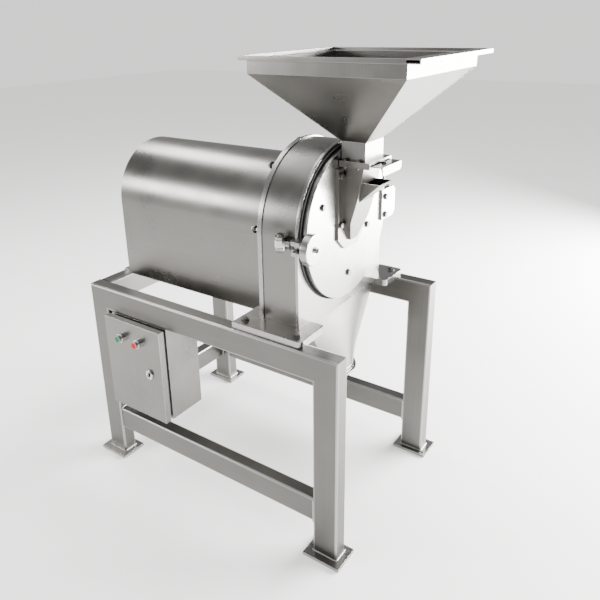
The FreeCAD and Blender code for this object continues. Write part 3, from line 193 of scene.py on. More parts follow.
def grain_group():
    """Long streaks along one direction, and a soft mottling: the look of belt-ground metal."""
    group, source, result = new_group(
        "BrushedGrain",
        [("Vector", "NodeSocketVector", None), ("Stretch", "NodeSocketVector", None),
         ("Mottle Scale", "NodeSocketFloat", 7.0)],
        [("Streaks", "NodeSocketFloat"), ("Mottling", "NodeSocketFloat")])
    link = group.links.new
    stretch = node(group, "ShaderNodeVectorMath", operation="MULTIPLY")
    streaks = node(group, "ShaderNodeTexNoise", values={"Scale": 1.0, "Detail": 5.0, "Roughness": 0.62})
    mottle = node(group, "ShaderNodeTexNoise", values={"Detail": 3.0, "Roughness": 0.55})
    link(source.outputs["Vector"], stretch.inputs[0])
    link(source.outputs["Stretch"], stretch.inputs[1])
    link(stretch.outputs["Vector"], streaks.inputs["Vector"])
    link(source.outputs["Vector"], mottle.inputs["Vector"])
    link(source.outputs["Mottle Scale"], mottle.inputs["Scale"])
    link(streaks.outputs["Fac"], result.inputs["Streaks"])
    link(mottle.outputs["Fac"], result.inputs["Mottling"])
    return group


def wear_group():
    """Turns streaks, mottling and a mask of rounded edges, which it screens lighter, into colour, roughness
    and height.
    """
    group, source, result = new_group(
        "MetalWear",
        [("Colour", "NodeSocketColor", (0.6, 0.6, 0.6, 1.0)), ("Streaks", "NodeSocketFloat", 0.5),
         ("Mottling", "NodeSocketFloat", 0.5), ("Edge", "NodeSocketFloat", 0.0),
         ("Rough From", "NodeSocketFloat", 0.25), ("Rough To", "NodeSocketFloat", 0.42),
         ("Contrast", "NodeSocketFloat", 0.1)],
        [("Colour", "NodeSocketColor"), ("Roughness", "NodeSocketFloat"), ("Height", "NodeSocketFloat")])
    link = group.links.new
    mixed = node(group, "ShaderNodeMath", operation="ADD")
    spread = node(group, "ShaderNodeMath", operation="SUBTRACT", values={1: 1.0})
    level = node(group, "ShaderNodeMath", operation="MULTIPLY_ADD", values={2: 1.0})
    shade = node(group, "ShaderNodeVectorMath", operation="SCALE")
    bright = node(group, "ShaderNodeMix", data_type="RGBA", blend_type="SCREEN")
    edge = node(group, "ShaderNodeMath", operation="MULTIPLY", values={1: 0.35})
    rough = node(group, "ShaderNodeMapRange", values={"From Min": 0.3, "From Max": 0.7})
    link(source.outputs["Streaks"], mixed.inputs[0])
    link(source.outputs["Mottling"], mixed.inputs[1])
    link(mixed.outputs["Value"], spread.inputs[0])
    link(spread.outputs["Value"], level.inputs[0])
    link(source.outputs["Contrast"], level.inputs[1])
    link(source.outputs["Colour"], shade.inputs[0])
    link(level.outputs["Value"], shade.inputs["Scale"])
    link(source.outputs["Edge"], edge.inputs[0])
    link(edge.outputs["Value"], bright.inputs["Factor"])
    link(shade.outputs["Vector"], bright.inputs["A"])
    bright.inputs["B"].default_value = (0.55, 0.55, 0.55, 1.0)
    link(source.outputs["Mottling"], rough.inputs["Value"])
    link(source.outputs["Rough From"], rough.inputs["To Min"])
    link(source.outputs["Rough To"], rough.inputs["To Max"])
    link(bright.outputs["Result"], result.inputs["Colour"])
    link(rough.outputs["Result"], result.inputs["Roughness"])
    link(source.outputs["Streaks"], result.inputs["Height"])
    return group


def shared(name, maker):
    """The shader group of that name, made once."""
    return bpy.data.node_groups.get(name) or maker()


def finish_material(name, tint, stretch, rough=(0.25, 0.42), metallic=1.0, bump=0.06, mottle=7.0, coat=0.0,
                    specular=0.5, contrast=0.3):
    """A material whose colour, roughness and bump come from the grain and wear groups."""
    made = bpy.data.materials.get(name)
    if made:
        return made
    made = bpy.data.materials.new(name)
    made.use_nodes = True
    tree = made.node_tree
    link = tree.links.new
    shader = tree.nodes["Principled BSDF"]
    shader.inputs["Metallic"].default_value = metallic
    shader.inputs["Coat Weight"].default_value = coat
    shader.inputs["Specular IOR Level"].default_value = specular
    place = node(tree, "ShaderNodeTexCoord")
    edge = node(tree, "ShaderNodeAttribute", attribute_name="edge")
    grain = node(tree, "ShaderNodeGroup", node_tree=shared("BrushedGrain", grain_group))
    wear = node(tree, "ShaderNodeGroup", node_tree=shared("MetalWear", wear_group))
    grain.inputs["Stretch"].default_value = stretch
    grain.inputs["Mottle Scale"].default_value = mottle
    wear.inputs["Colour"].default_value = (*tint, 1.0)
    wear.inputs["Rough From"].default_value = rough[0]
    wear.inputs["Rough To"].default_value = rough[1]
    wear.inputs["Contrast"].default_value = contrast
    relief = node(tree, "ShaderNodeBump", values={"Strength": bump, "Distance": 0.001})
    link(place.outputs["Object"], grain.inputs["Vector"])
    link(grain.outputs["Streaks"], wear.inputs["Streaks"])
    link(grain.outputs["Mottling"], wear.inputs["Mottling"])
    link(edge.outputs["Fac"], wear.inputs["Edge"])
    link(wear.outputs["Colour"], shader.inputs["Base Color"])
    link(wear.outputs["Roughness"], shader.inputs["Roughness"])
    link(wear.outputs["Height"], relief.inputs["Height"])
    link(relief.outputs["Normal"], shader.inputs["Normal"])
    return made


def metal(kind, along):
    """Stainless of a kind (sheet, tube, plate), ground along one axis."""
    colours = bpy.context.scene.mill_colours
    rough = {"sheet": (0.26, 0.34), "tube": (0.30, 0.38), "plate": (0.22, 0.30)}[kind]
    return finish_material(f"stainless_{kind}_{along}", getattr(colours, kind), GRAIN[along], rough)


def simple(name):
    """The other finishes, by name."""
    colours = bpy.context.scene.mill_colours
    recipes = {
        "bolt": dict(tint=colours.bolt, rough=(0.28, 0.45), bump=0.1),
        "ground": dict(tint=colours.ground, rough=(0.14, 0.26), bump=0.04),
        "hard": dict(tint=colours.hard, rough=(0.38, 0.58), bump=0.2, mottle=22.0),
        "casting": dict(tint=colours.casting, rough=(0.5, 0.7), bump=0.35, metallic=0.0, mottle=40.0),
        "enamel": dict(tint=colours.enamel, rough=(0.3, 0.42), bump=0.08, metallic=0.0, coat=0.3),
        "rubber": dict(tint=colours.rubber, rough=(0.7, 0.85), bump=0.12, metallic=0.0, specular=0.12),
        "plastic": dict(tint=colours.plastic, rough=(0.35, 0.5), bump=0.08, metallic=0.0),
        "green": dict(tint=colours.green, rough=(0.45, 0.55), bump=0.03, metallic=0.0, specular=0.15),
        "red": dict(tint=colours.red, rough=(0.45, 0.55), bump=0.03, metallic=0.0, specular=0.15),
        "weld": dict(tint=colours.plate, rough=(0.32, 0.5), bump=0.3, mottle=60.0),
    }
    return finish_material(f"{name}_finish", stretch=GRAIN["fine"], **recipes[name])


# ---------------------------------------------------------------- pieces

def hand_over(obj, body, slot, *replaced):
    """Ties a finished piece to its body and to the nodes it stands for; the slot argument is not used."""
    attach(obj, body)
    if replaced:
        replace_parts(obj, *replaced)
    return obj


def new_object(name, mesh, material):
    """An object that holds a mesh with one material."""
    obj = bpy.data.objects.new(name, mesh)
    bpy.context.scene.collection.objects.link(obj)
    mesh.materials.clear()
    mesh.materials.append(material)
    return obj


def settle(obj, angle=35.0):
    """Smooth shading with sharp edges kept, weighted to the large faces, baked into a plain mesh."""
    for face in obj.data.polygons:
        face.use_smooth = True
    obj.data.set_sharp_from_angle(angle=math.radians(angle))
    weighted = obj.modifiers.new("Weighted", "WEIGHTED_NORMAL")
    weighted.keep_sharp = True
    weighted.weight = 100
    return freeze(obj)


def freeze(obj):
    """Replaces an object's mesh and modifiers by the evaluated mesh."""
    bpy.context.view_layer.update()
    depsgraph = bpy.context.evaluated_depsgraph_get()
    mesh = bpy.data.meshes.new_from_object(obj.evaluated_get(depsgraph), depsgraph=depsgraph)
    obj.modifiers.clear()
    obj.data = mesh
    mesh.name = obj.name
    return obj


def cad_mesh(name):
    """A clean copy of a CAD node's mesh: doubles merged and flat triangles joined."""
    bm = bmesh.new()
    bm.from_mesh(frame["nodes"][name].data)
    bmesh.ops.remove_doubles(bm, verts=bm.verts, dist=1e-6)
    bmesh.ops.dissolve_limit(bm, angle_limit=math.radians(0.5), verts=bm.verts, edges=bm.edges,
                             delimit={"NORMAL"})
    return bm


def round_edges(bm, edges, width, segments):
    """Rounds edges and marks the new faces, which the finishes show a little brighter."""
    mask = bm.faces.layers.float.get("edge") or bm.faces.layers.float.new("edge")
    made = bmesh.ops.bevel(bm, geom=edges, offset=width, offset_type="OFFSET", segments=segments,
                           profile=0.5,
                           affect="EDGES", clamp_overlap=True)
    for face in made["faces"]:
        face[mask] = 1.0


def sharp_edges(bm, angle=30.0):
    """Edges where two faces meet at more than an angle."""
    return [edge for edge in bm.edges
            if len(edge.link_faces) == 2 and edge.calc_face_angle(0.0) >= math.radians(angle)]


def finish_node(name, material, width=None, segments=2, pick=None):
    """A CAD node as a finished piece: the same shape with its edges rounded, in place of the node."""
    width = bpy.context.scene.mill_sizes.plate_round if width is None else width
    bm = cad_mesh(name)
    edges = pick(bm) if pick else sharp_edges(bm)
    round_edges(bm, edges, width, segments)
    mesh = bpy.data.meshes.new(f"{name}_metal")
    bm.to_mesh(mesh)
    bm.free()
    obj = settle(new_object(f"{name}_metal", mesh, material))
    return hand_over(obj, BODY_OF[name], SLOT_OF[name], name)


def from_bmesh(bm, name, material, angle=35.0):
    """An object from a bmesh, with its doubles merged and its normals outward."""
    bmesh.ops.remove_doubles(bm, verts=bm.verts, dist=1e-6)
    bmesh.ops.recalc_face_normals(bm, faces=bm.faces)
    mesh = bpy.data.meshes.new(name)
    bm.to_mesh(mesh)
    bm.free()
    return settle(new_object(name, mesh, material), angle)


def frame_of(axis):
    """A rotation that turns +Z to an axis."""
    return Vector(axis).to_track_quat("Z", "Y").to_matrix().to_4x4()


def lathe(bm, outline, origin, axis, steps=64):
    """A solid of revolution. Its outline is (radius, height) pairs that end on the axis or close."""
    place = Matrix.Translation(origin) @ frame_of(axis)
    rings = []
    for radius, height in outline:
        if radius < 1e-9:
            rings.append([bm.verts.new(place @ Vector((0, 0, height)))])
            continue
        rings.append([bm.verts.new(place @ Vector((radius * math.cos(math.tau * i / steps),
                                                   radius * math.sin(math.tau * i / steps), height)))
                      for i in range(steps)])
    for low, high in zip(rings, rings[1:]):
        for i in range(steps):
            j = (i + 1) % steps
            corners = [low[i % len(low)], low[j % len(low)], high[j % len(high)], high[i % len(high)]]
            unique = list(dict.fromkeys(corners))
            if len(unique) > 2:
                bm.faces.new(unique)
    return rings


def islands(name):
    """The separate solids of a node, each as a list of points."""
    bm = cad_mesh(name)
    left = set(bm.verts)
    solids = []
    while left:
        seed = left.pop()
        found, queue = [seed], [seed]
        while queue:
            for edge in queue.pop().link_edges:
                for vert in edge.verts:
                    if vert in left:
                        left.discard(vert)
                        found.append(vert)
                        queue.append(vert)
        solids.append([vert.co.copy() for vert in found])
    bm.free()
    return solids


def middle(points):
    """Centre, low corner and high corner of the box round some points."""
    low = Vector([min(p[i] for p in points) for i in range(3)])
    high = Vector([max(p[i] for p in points) for i in range(3)])
    return (low + high) / 2, low, high


# ---------------------------------------------------------------- geometry node trees

def new_tree(name, inputs):
    """A geometry node tree with a mesh in and out, and named inputs."""
    tree = bpy.data.node_groups.new(name, "GeometryNodeTree")
    tree.interface.new_socket("Geometry", in_out="INPUT", socket_type="NodeSocketGeometry")
    for title, kind, default in inputs:
        socket = tree.interface.new_socket(title, in_out="INPUT", socket_type=kind)
        if default is not None:
            socket.default_value = default
    tree.interface.new_socket("Geometry", in_out="OUTPUT", socket_type="NodeSocketGeometry")
    return tree, tree.nodes.new("NodeGroupInput"), tree.nodes.new("NodeGroupOutput")


def run_tree(obj, tree, **inputs):
    """Applies a geometry node tree with inputs set by their identifiers, and freezes the result."""
    modifier = obj.modifiers.new(tree.name, "NODES")
    modifier.node_group = tree
    sockets = {item.name: item.identifier for item in tree.interface.items_tree
               if item.item_type == "SOCKET" and item.in_out == "INPUT"}
    for name, setting in inputs.items():
        modifier[sockets[name.replace("_", " ").title()]] = setting
    return freeze(obj)


def end_tree(tree, geometry, result, material_socket):
    """Realize Instances and Set Material, then the output."""
    real = node(tree, "GeometryNodeRealizeInstances")
    paint = node(tree, "GeometryNodeSetMaterial")
    tree.links.new(geometry, real.inputs["Geometry"])
    tree.links.new(real.outputs["Geometry"], paint.inputs["Geometry"])
    tree.links.new(material_socket, paint.inputs["Material"])
    tree.links.new(paint.outputs["Geometry"], result.inputs["Geometry"])


def bolt_tree():
    """A chamfered hex head on a washer at each vertex, standing along the vertex's out vector."""
    tree, source, result = new_tree("HexBolts", [
        ("Head Radius", "NodeSocketFloat", 0.009), ("Head Height", "NodeSocketFloat", 0.0064),
        ("Washer Radius", "NodeSocketFloat", 0.0105), ("Washer Height", "NodeSocketFloat", 0.002),
        ("Material", "NodeSocketMaterial", None)])
    link = tree.links.new

    def maths(operation, first, second):
        made = node(tree, "ShaderNodeMath", operation=operation)
        for index, item in enumerate((first, second)):
            if isinstance(item, float):
                made.inputs[index].default_value = item
            else:
                link(item, made.inputs[index])
        return made.outputs["Value"]

    def lifted(geometry, height):
        move = node(tree, "GeometryNodeTransform")
        combine = node(tree, "ShaderNodeCombineXYZ")
        link(height, combine.inputs["Z"])
        link(geometry, move.inputs["Geometry"])
        link(combine.outputs["Vector"], move.inputs["Translation"])
        return move.outputs["Geometry"]

    def cone(vertices, low, high, depth, base):
        made = node(tree, "GeometryNodeMeshCone")
        made.inputs["Vertices"].default_value = vertices
        link(high, made.inputs["Radius Top"])
        link(low, made.inputs["Radius Bottom"])
        link(depth, made.inputs["Depth"])
        return lifted(made.outputs["Mesh"], base)

    head, tall = source.outputs["Head Radius"], source.outputs["Head Height"]
    washer, thick = source.outputs["Washer Radius"], source.outputs["Washer Height"]
    zero = maths("MULTIPLY", thick, 0.0)
    body = maths("MULTIPLY", tall, 0.78)
    top = maths("MULTIPLY", tall, 0.22)
    rim = maths("MULTIPLY", washer, 0.96)
    low_rim = maths("MULTIPLY", thick, 0.75)
    join = node(tree, "GeometryNodeJoinGeometry")
    for part in (
        cone(24, washer, washer, low_rim, zero),
        cone(24, washer, rim, maths("MULTIPLY", thick, 0.25), low_rim),
        cone(6, head, head, body, thick),
        cone(6, head, maths("MULTIPLY", head, 0.84), top, maths("ADD", thick, body)),
    ):
        link(part, join.inputs["Geometry"])
    turn = node(tree, "FunctionNodeAlignRotationToVector", axis="Z")
    out = node(tree, "GeometryNodeInputNamedAttribute", data_type="FLOAT_VECTOR", values={"Name": "out"})
    place = node(tree, "GeometryNodeInstanceOnPoints")
    link(out.outputs["Attribute"], turn.inputs["Vector"])
    link(source.outputs["Geometry"], place.inputs["Points"])
    link(join.outputs["Geometry"], place.inputs["Instance"])
    link(turn.outputs["Rotation"], place.inputs["Rotation"])
    end_tree(tree, place.outputs["Instances"], result, source.outputs["Material"])
    return tree


def bead_tree():
    """A rippled bead along the edges of the input mesh: a ground weld."""
    tree, source, result = new_tree("WeldBead", [
        ("Radius", "NodeSocketFloat", 0.0028), ("Step", "NodeSocketFloat", 0.003),
        ("Ripple", "NodeSocketFloat", 0.0004), ("Seed", "NodeSocketInt", 4),
        ("Material", "NodeSocketMaterial", None)])
    link = tree.links.new
    curve = node(tree, "GeometryNodeMeshToCurve")
    resample = node(tree, "GeometryNodeResampleCurve", mode="LENGTH")
    profile = node(tree, "GeometryNodeCurvePrimitiveCircle", values={"Resolution": 8})
    sweep = node(tree, "GeometryNodeCurveToMesh", values={"Fill Caps": True})
    ripple = node(tree, "FunctionNodeRandomValue", data_type="FLOAT")
    offset = node(tree, "GeometryNodeSetPosition")
    normal = node(tree, "GeometryNodeInputNormal")
    push = node(tree, "ShaderNodeVectorMath", operation="SCALE")
    low = node(tree, "ShaderNodeMath", operation="MULTIPLY", values={1: -1.0})
    link(source.outputs["Geometry"], curve.inputs["Mesh"])
    link(curve.outputs["Curve"], resample.inputs["Curve"])
    link(source.outputs["Step"], resample.inputs["Length"])
    link(source.outputs["Radius"], profile.inputs["Radius"])
    link(resample.outputs["Curve"], sweep.inputs["Curve"])
    link(profile.outputs["Curve"], sweep.inputs["Profile Curve"])
    link(source.outputs["Ripple"], low.inputs[0])
    link(low.outputs["Value"], ripple.inputs[2])
    link(source.outputs["Ripple"], ripple.inputs[3])
    link(source.outputs["Seed"], ripple.inputs["Seed"])
    link(normal.outputs["Normal"], push.inputs[0])
    link(ripple.outputs[1], push.inputs["Scale"])
    link(sweep.outputs["Mesh"], offset.inputs["Geometry"])
    link(push.outputs["Vector"], offset.inputs["Offset"])
    end_tree(tree, offset.outputs["Geometry"], result, source.outputs["Material"])
    return tree


def tree_named(name, maker):
    """The geometry node tree of that name, made once."""
    return bpy.data.node_groups.get(name) or maker()


def points_mesh(name, points, vectors):
    """Loose vertices with an out vector each."""
    mesh = bpy.data.meshes.new(name)
    mesh.from_pydata([tuple(p) for p in points], [], [])
    attribute = mesh.attributes.new("out", "FLOAT_VECTOR", "POINT")
    for index, vector in enumerate(vectors):
        attribute.data[index].vector = vector
    return mesh


def bolts_in(name):
    """(seat, out direction, head corner radius, head height) of each hex bolt of a node."""
    found = []
    for points in islands(name):
        centre, low, high = middle(points)
        for axis in range(3):
            for end, sign in ((high, 1.0), (low, -1.0)):
                cap = [p for p in points if abs(p[axis] - end[axis]) < 1e-5]
                if len(cap) != 6:
                    continue
                levels = sorted({round(p[axis], 5) for p in points},
                                key=lambda level: abs(level - end[axis]))
                seat = centre.copy()
                seat[axis] = levels[1]
                out = Vector((0, 0, 0))
                out[axis] = sign
                radius = max((p - middle(cap)[0]).length for p in cap)
                found.append((seat, out, radius, abs(levels[0] - levels[1])))
    return found


def hex_piece(name, body, seats, radius, tall):
    """Hex heads or nuts on washers at some (seat, out direction) pairs."""
    thick = bpy.context.scene.mill_sizes.washer_thick
    mesh = points_mesh(name, [seat for seat, _ in seats], [out for _, out in seats])
    obj = new_object(name, mesh, simple("bolt"))
    run_tree(obj, tree_named("HexBolts", bolt_tree), head_radius=radius, head_height=tall - thick * 0.4,
             washer_radius=radius * 1.22, washer_height=thick, material=simple("bolt"))
    return hand_over(obj, body, "bright_bolts")


def make_bolts(name, node_name):
    """Detailed hex bolts in place of a node's plain ones, one piece for each head size."""
    groups = {}
    for seat, out, radius, tall in bolts_in(node_name):
        groups.setdefault((round(radius, 4), round(tall, 4)), []).append((seat, out))
    for number, ((radius, tall), bolts) in enumerate(sorted(groups.items()), start=1):
        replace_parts(hex_piece(f"{name}_{number}", BODY_OF[node_name], bolts, radius, tall), node_name)


def weld(name, body, lines, radius=None):
    """Weld beads along lines of points."""
    sizes = bpy.context.scene.mill_sizes
    mesh = bpy.data.meshes.new(name)
    points, edges = [], []
    for line in lines:
        start = len(points)
        points += [tuple(p) for p in line]
        edges += [(start + i, start + i + 1) for i in range(len(line) - 1)]
    mesh.from_pydata(points, edges, [])
    obj = new_object(name, mesh, simple("weld"))
    run_tree(obj, tree_named("WeldBead", bead_tree), radius=radius or sizes.weld_radius,
             material=simple("weld"))
    for face in obj.data.polygons:
        face.use_smooth = True
    return hand_over(obj, body, "stainless_plate")


# ---------------------------------------------------------------- operators and what they add

class MillOperator:
    """Shared options of the mill's operators."""
    bl_options = {"REGISTER", "UNDO"}


def long_outer_edges(axis, shortest):
    """Picks a tube's long outside corners along an axis."""
    def pick(bm):
        low = Vector([min(v.co[i] for v in bm.verts) for i in range(3)])
        high = Vector([max(v.co[i] for v in bm.verts) for i in range(3)])
        others = [i for i in range(3) if i != axis]
        picked = []
        for edge in sharp_edges(bm):
            first, second = (vert.co for vert in edge.verts)
            along = abs(first[axis] - second[axis])
            on_skin = all(min(abs(vert.co[i] - low[i]), abs(vert.co[i] - high[i])) < 1e-4
                          for vert in edge.verts for i in others)
            if along > shortest and on_skin:
                picked.append(edge)
        return picked
    return pick


def around(low, high, level):
    """A closed rectangle of points at a level."""
    return [(low.x, low.y, level), (high.x, low.y, level), (high.x, high.y, level), (low.x, high.y, level),
            (low.x, low.y, level)]


def stand_welds():
    """Beads round each leg on its foot plate, and at the ends of the lower rails."""
    lines = []
    for end in ("front", "rear"):
        for side in ("left", "right"):
            low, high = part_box(f"leg_{end}_{side}")
            lines.append(around(low, high, low.z))
    for side in ("left", "right"):
        low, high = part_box(f"lower_rail_{side}")
        for x in (low.x, high.x):
            lines.append([(x, low.y, low.z), (x, high.y, low.z), (x, high.y, high.z), (x, low.y, high.z),
                          (x, low.y, low.z)])
    for name in ("lower_rail_rear", "top_rail_rear"):
        low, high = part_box(name)
        for y in (low.y, high.y):
            lines.append([(high.x, y, low.z), (high.x, y, high.z)])
    weld("stand_weld_beads", "root", lines)


class MILL_OT_stand(MillOperator, bpy.types.Operator):
    """Legs, rails, foot plates and mounting plates"""
    bl_idname = "mill.stand"
    bl_label = "Stand"

    def execute(self, context):
        sizes = context.scene.mill_sizes
        tubes = [(f"leg_{end}_{side}", "z") for end in ("front", "rear") for side in ("left", "right")]
        tubes += [(f"{level}_rail_{side}", "x") for side in ("left", "right") for level in ("top", "lower")]
        tubes += [(f"{level}_rail_rear", "y") for level in ("top", "lower")]
        for name, along in tubes:
            corners = long_outer_edges("xyz".index(along), LONG_EDGE)
            finish_node(name, metal("tube", along), sizes.tube_round, 4, corners)
        finish_node("foot_plates", metal("plate", "x"))
        finish_node("mounting_plates", metal("plate", "x"), 0.0018, 3)
        make_bolts("stand_bolts", "frame_bolts")
        stand_welds()
        return {"FINISHED"}


def rear_studs():
    """Long stud ends with nuts on the rear flange's bolts."""
    shaft_z = PIVOTS["rotor_spin"].z
    flange_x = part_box("chamber_back_plate")[0].x
    cover_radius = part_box("motor_cover")[1].y
    places = []
    for seat, out, _, _ in bolts_in("frame_bolts"):
        on_flange = out.x < -0.5 and seat.x > flange_x - 0.01
        round_cover = seat.z > shaft_z and math.hypot(seat.y, seat.z - shaft_z) > cover_radius
        if on_flange and round_cover:
            places.append(seat)
    bm = bmesh.new()
    for seat in places:
        lathe(bm, [(0.0, 0.0), (0.0048, 0.0), (0.0048, 0.029), (0.004, 0.03), (0.0, 0.03)],
              Vector((flange_x, seat.y, seat.z)), (-1, 0, 0), 24)
    hand_over(from_bmesh(bm, "rear_flange_studs", simple("ground")), "root", "bright_bolts")
    seats = [((flange_x - FLANGE_NUT_STAND, seat.y, seat.z), (-1, 0, 0)) for seat in places]
    hex_piece("rear_flange_nuts", "root", seats, *FLANGE_NUT)


class MILL_OT_chamber(MillOperator, bpy.types.Operator):
    """Grinding chamber: shell, end plates, liner and screen"""
    bl_idname = "mill.chamber"
    bl_label = "Grinding chamber"

    def execute(self, context):
        finish_node("chamber_shell", metal("sheet", "x"), 0.0006)
        finish_node("chamber_front_plate", metal("plate", "z"), 0.0015, 3)
        finish_node("chamber_back_plate", metal("plate", "z"), 0.0015, 3)
        finish_node("breaker_liner", simple("hard"), 0.0006)
        finish_node("screen", simple("hard"), 0.0004, 1)
        rear_studs()
        return {"FINISHED"}


class MILL_OT_drive(MillOperator, bpy.types.Operator):
    """Motor, bearing housing, base and cover"""
    bl_idname = "mill.drive"
    bl_label = "Drive"

    def execute(self, context):
        finish_node("motor_cover", metal("sheet", "x"), 0.0006)
        finish_node("motor_base", metal("plate", "x"))
        finish_node("motor_body", simple("enamel"))
        finish_node("motor_fan_cover", simple("enamel"), 0.0005)
        finish_node("bearing_housing", simple("casting"))
        finish_node("rotor_bearings", simple("ground"), 0.0005)
        return {"FINISHED"}


class MILL_OT_rotor(MillOperator, bpy.types.Operator):
    """Rotor: shaft, discs, pins, hammers and coupling"""
    bl_idname = "mill.rotor"
    bl_label = "Rotor"

    def execute(self, context):
        for name in ("rotor_shaft", "hammer_pins", "motor_shaft"):
            finish_node(name, simple("ground"), 0.0006)
        finish_node("rotor_discs", simple("hard"), 0.0006)
        for number in range(1, 5):
            finish_node(f"hammers_{number}", simple("hard"), 0.0008)
        finish_node("shaft_coupling", simple("casting"))
        finish_node("coupling_spider", simple("rubber"), 0.0006)
        finish_node("motor_fan", simple("plastic"), 0.0006)
        return {"FINISHED"}


class MILL_OT_door(MillOperator, bpy.types.Operator):
    """Round door with its seal, hinge and fork"""
    bl_idname = "mill.door"
    bl_label = "Door"

    def execute(self, context):
        finish_node("door_disc", metal("plate", "z"), 0.002, 3)
        finish_node("door_seal", simple("rubber"), 0.001)
        finish_node("door_hinge_plate", metal("plate", "z"))
        finish_node("door_fork", metal("plate", "z"), 0.0015)
        finish_node("hinge_lugs", metal("plate", "z"), 0.0015)
        finish_node("pivot_pins", simple("ground"), 0.0008)
        make_bolts("door_hex_bolts", "door_bolts")
        return {"FINISHED"}


def hopper_seams():
    """Fine ground welds down the four corners of the funnel and round its neck."""
    hopper_low, hopper_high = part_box("hopper")
    rim_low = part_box("hopper_rim")[0].z
    neck_z, band_z = rim_low - NECK_BELOW_RIM, rim_low - BAND_BELOW_RIM
    rear, front = hopper_low.x + NECK_INSET_REAR, hopper_high.x - NECK_INSET_FRONT
    lines = []
    for side in (1, -1):
        for neck_x, band_x in ((rear, hopper_low.x), (front, hopper_high.x)):
            lines.append([(neck_x, side * NECK_HALF, neck_z), (band_x, side * hopper_high.y, band_z)])
    lines.append(around(Vector((rear, -NECK_HALF, 0.0)), Vector((front, NECK_HALF, 0.0)), neck_z))
    weld("hopper_welds", BODY_OF["hopper"], lines, SEAM_RADIUS)


def band_rivets():
    """Two small blind rivets in the band over the door."""
    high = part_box("hopper")[1]
    bm = bmesh.new()
    for across in RIVETS_ACROSS:
        dome = [(0.0, 0.0014), (0.0014, 0.0012), (0.0026, 0.0006), (0.003, 0.0), (0.0, 0.0)]
        lathe(bm, dome, Vector((high.x, across, high.z - RIVET_BELOW_TOP)), (1, 0, 0), 24)
    hand_over(from_bmesh(bm, "band_rivets", simple("bolt")), BODY_OF["hopper"], "bright_bolts")


class MILL_OT_feed(MillOperator, bpy.types.Operator):
    """Feed chute, air scoop, gate, hopper and rim"""
    bl_idname = "mill.feed"
    bl_label = "Feed"

    def execute(self, context):
        sizes = context.scene.mill_sizes
        finish_node("feed_chute", metal("sheet", "z"), sizes.sheet_round)
        finish_node("air_scoop", metal("sheet", "z"), sizes.sheet_round)
        finish_node("slide_gate", metal("sheet", "x"), sizes.sheet_round)
        finish_node("hopper", metal("sheet", "z"), sizes.sheet_round)
        finish_node("hopper_rim", metal("sheet", "x"), sizes.sheet_round)
        hopper_seams()
        band_rivets()
        return {"FINISHED"}


def lock_fasteners():
    """Hex head and nut on the swing bolt's pivot, a nut behind the fork, and a black disc of painted shade
    on the bolt's end for its socket hole.
    """
    pivot = PIVOTS["swing_bolt_turn"]
    low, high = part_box("lock_lugs")
    ends = [((pivot.x, pivot.y, high.z), (0, 0, 1)), ((pivot.x, pivot.y, low.z), (0, 0, -1))]
    hex_piece("lock_pivot_bolt", "root", ends, *PIVOT_HEAD)
    nut_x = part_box("door_fork")[0].x - LOCK_NUT_BEHIND_FORK
    hex_piece("swing_bolt_nut", "swing_bolt", [((nut_x, pivot.y, pivot.z), (1, 0, 0))], *LOCK_NUT)
    bolt_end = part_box("swing_bolt")[1].x
    # a thin black disc, not a hole: painted shade for the dark inside of the bolt's socket
    bm = bmesh.new()
    lathe(bm, [(0.0, 0.0005), (SOCKET_SHADE_RADIUS, 0.0005), (SOCKET_SHADE_RADIUS, 0.0), (0.0, 0.0)],
          Vector((bolt_end, pivot.y, pivot.z)), (1, 0, 0), 24)
    hand_over(from_bmesh(bm, "swing_bolt_socket_shade", simple("rubber")), "swing_bolt", "ground_steel")


def swing_bolt_thread():
    """The thread's ridges between the lugs and the handwheel."""
    pivot = PIVOTS["swing_bolt_turn"]
    start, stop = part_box("lock_lugs")[1].x + 0.003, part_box("lock_handwheel")[0].x - 0.001
    pitch = bpy.context.scene.mill_sizes.thread_pitch
    outline = [(0.0, 0.0)]
    for ridge in range(int((stop - start) / pitch)):
        foot = ridge * pitch
        outline += [(THREAD_ROOT, foot), (THREAD_CREST, foot + pitch * 0.45),
                    (THREAD_ROOT, foot + pitch * 0.9)]
    outline += [(0.0, outline[-1][1])]
    bm = bmesh.new()
    lathe(bm, outline, Vector((start, pivot.y, pivot.z)), (1, 0, 0), 32)
    hand_over(from_bmesh(bm, "swing_bolt_thread", simple("bolt"), 20.0), "swing_bolt", "ground_steel")


class MILL_OT_lock(MillOperator, bpy.types.Operator):
    """Swing bolt, its lugs and the handwheel"""
    bl_idname = "mill.lock"
    bl_label = "Lock"

    def execute(self, context):
        finish_node("lock_lugs", metal("plate", "z"), 0.0015)
        finish_node("swing_bolt", simple("ground"))
        finish_node("lock_handwheel", metal("plate", "z"), 0.003, 4)
        lock_fasteners()
        swing_bolt_thread()
        return {"FINISHED"}


class MILL_OT_discharge(MillOperator, bpy.types.Operator):
    """Discharge cone and its flanged collar"""
    bl_idname = "mill.discharge"
    bl_label = "Discharge"

    def execute(self, context):
        finish_node("discharge_hopper", metal("sheet", "z"), 0.0006)
        finish_node("outlet_collar", metal("plate", "x"))
        return {"FINISHED"}


def two_tone(obj, side, depth=CAP_DEPTH):
    """Gives everything behind a piece's front another finish."""
    face_y = min(vert.co.y for vert in obj.data.vertices) + depth
    obj.data.materials.append(side)
    for face in obj.data.polygons:
        if face.center.y > face_y:
            face.material_index = 1
    return obj


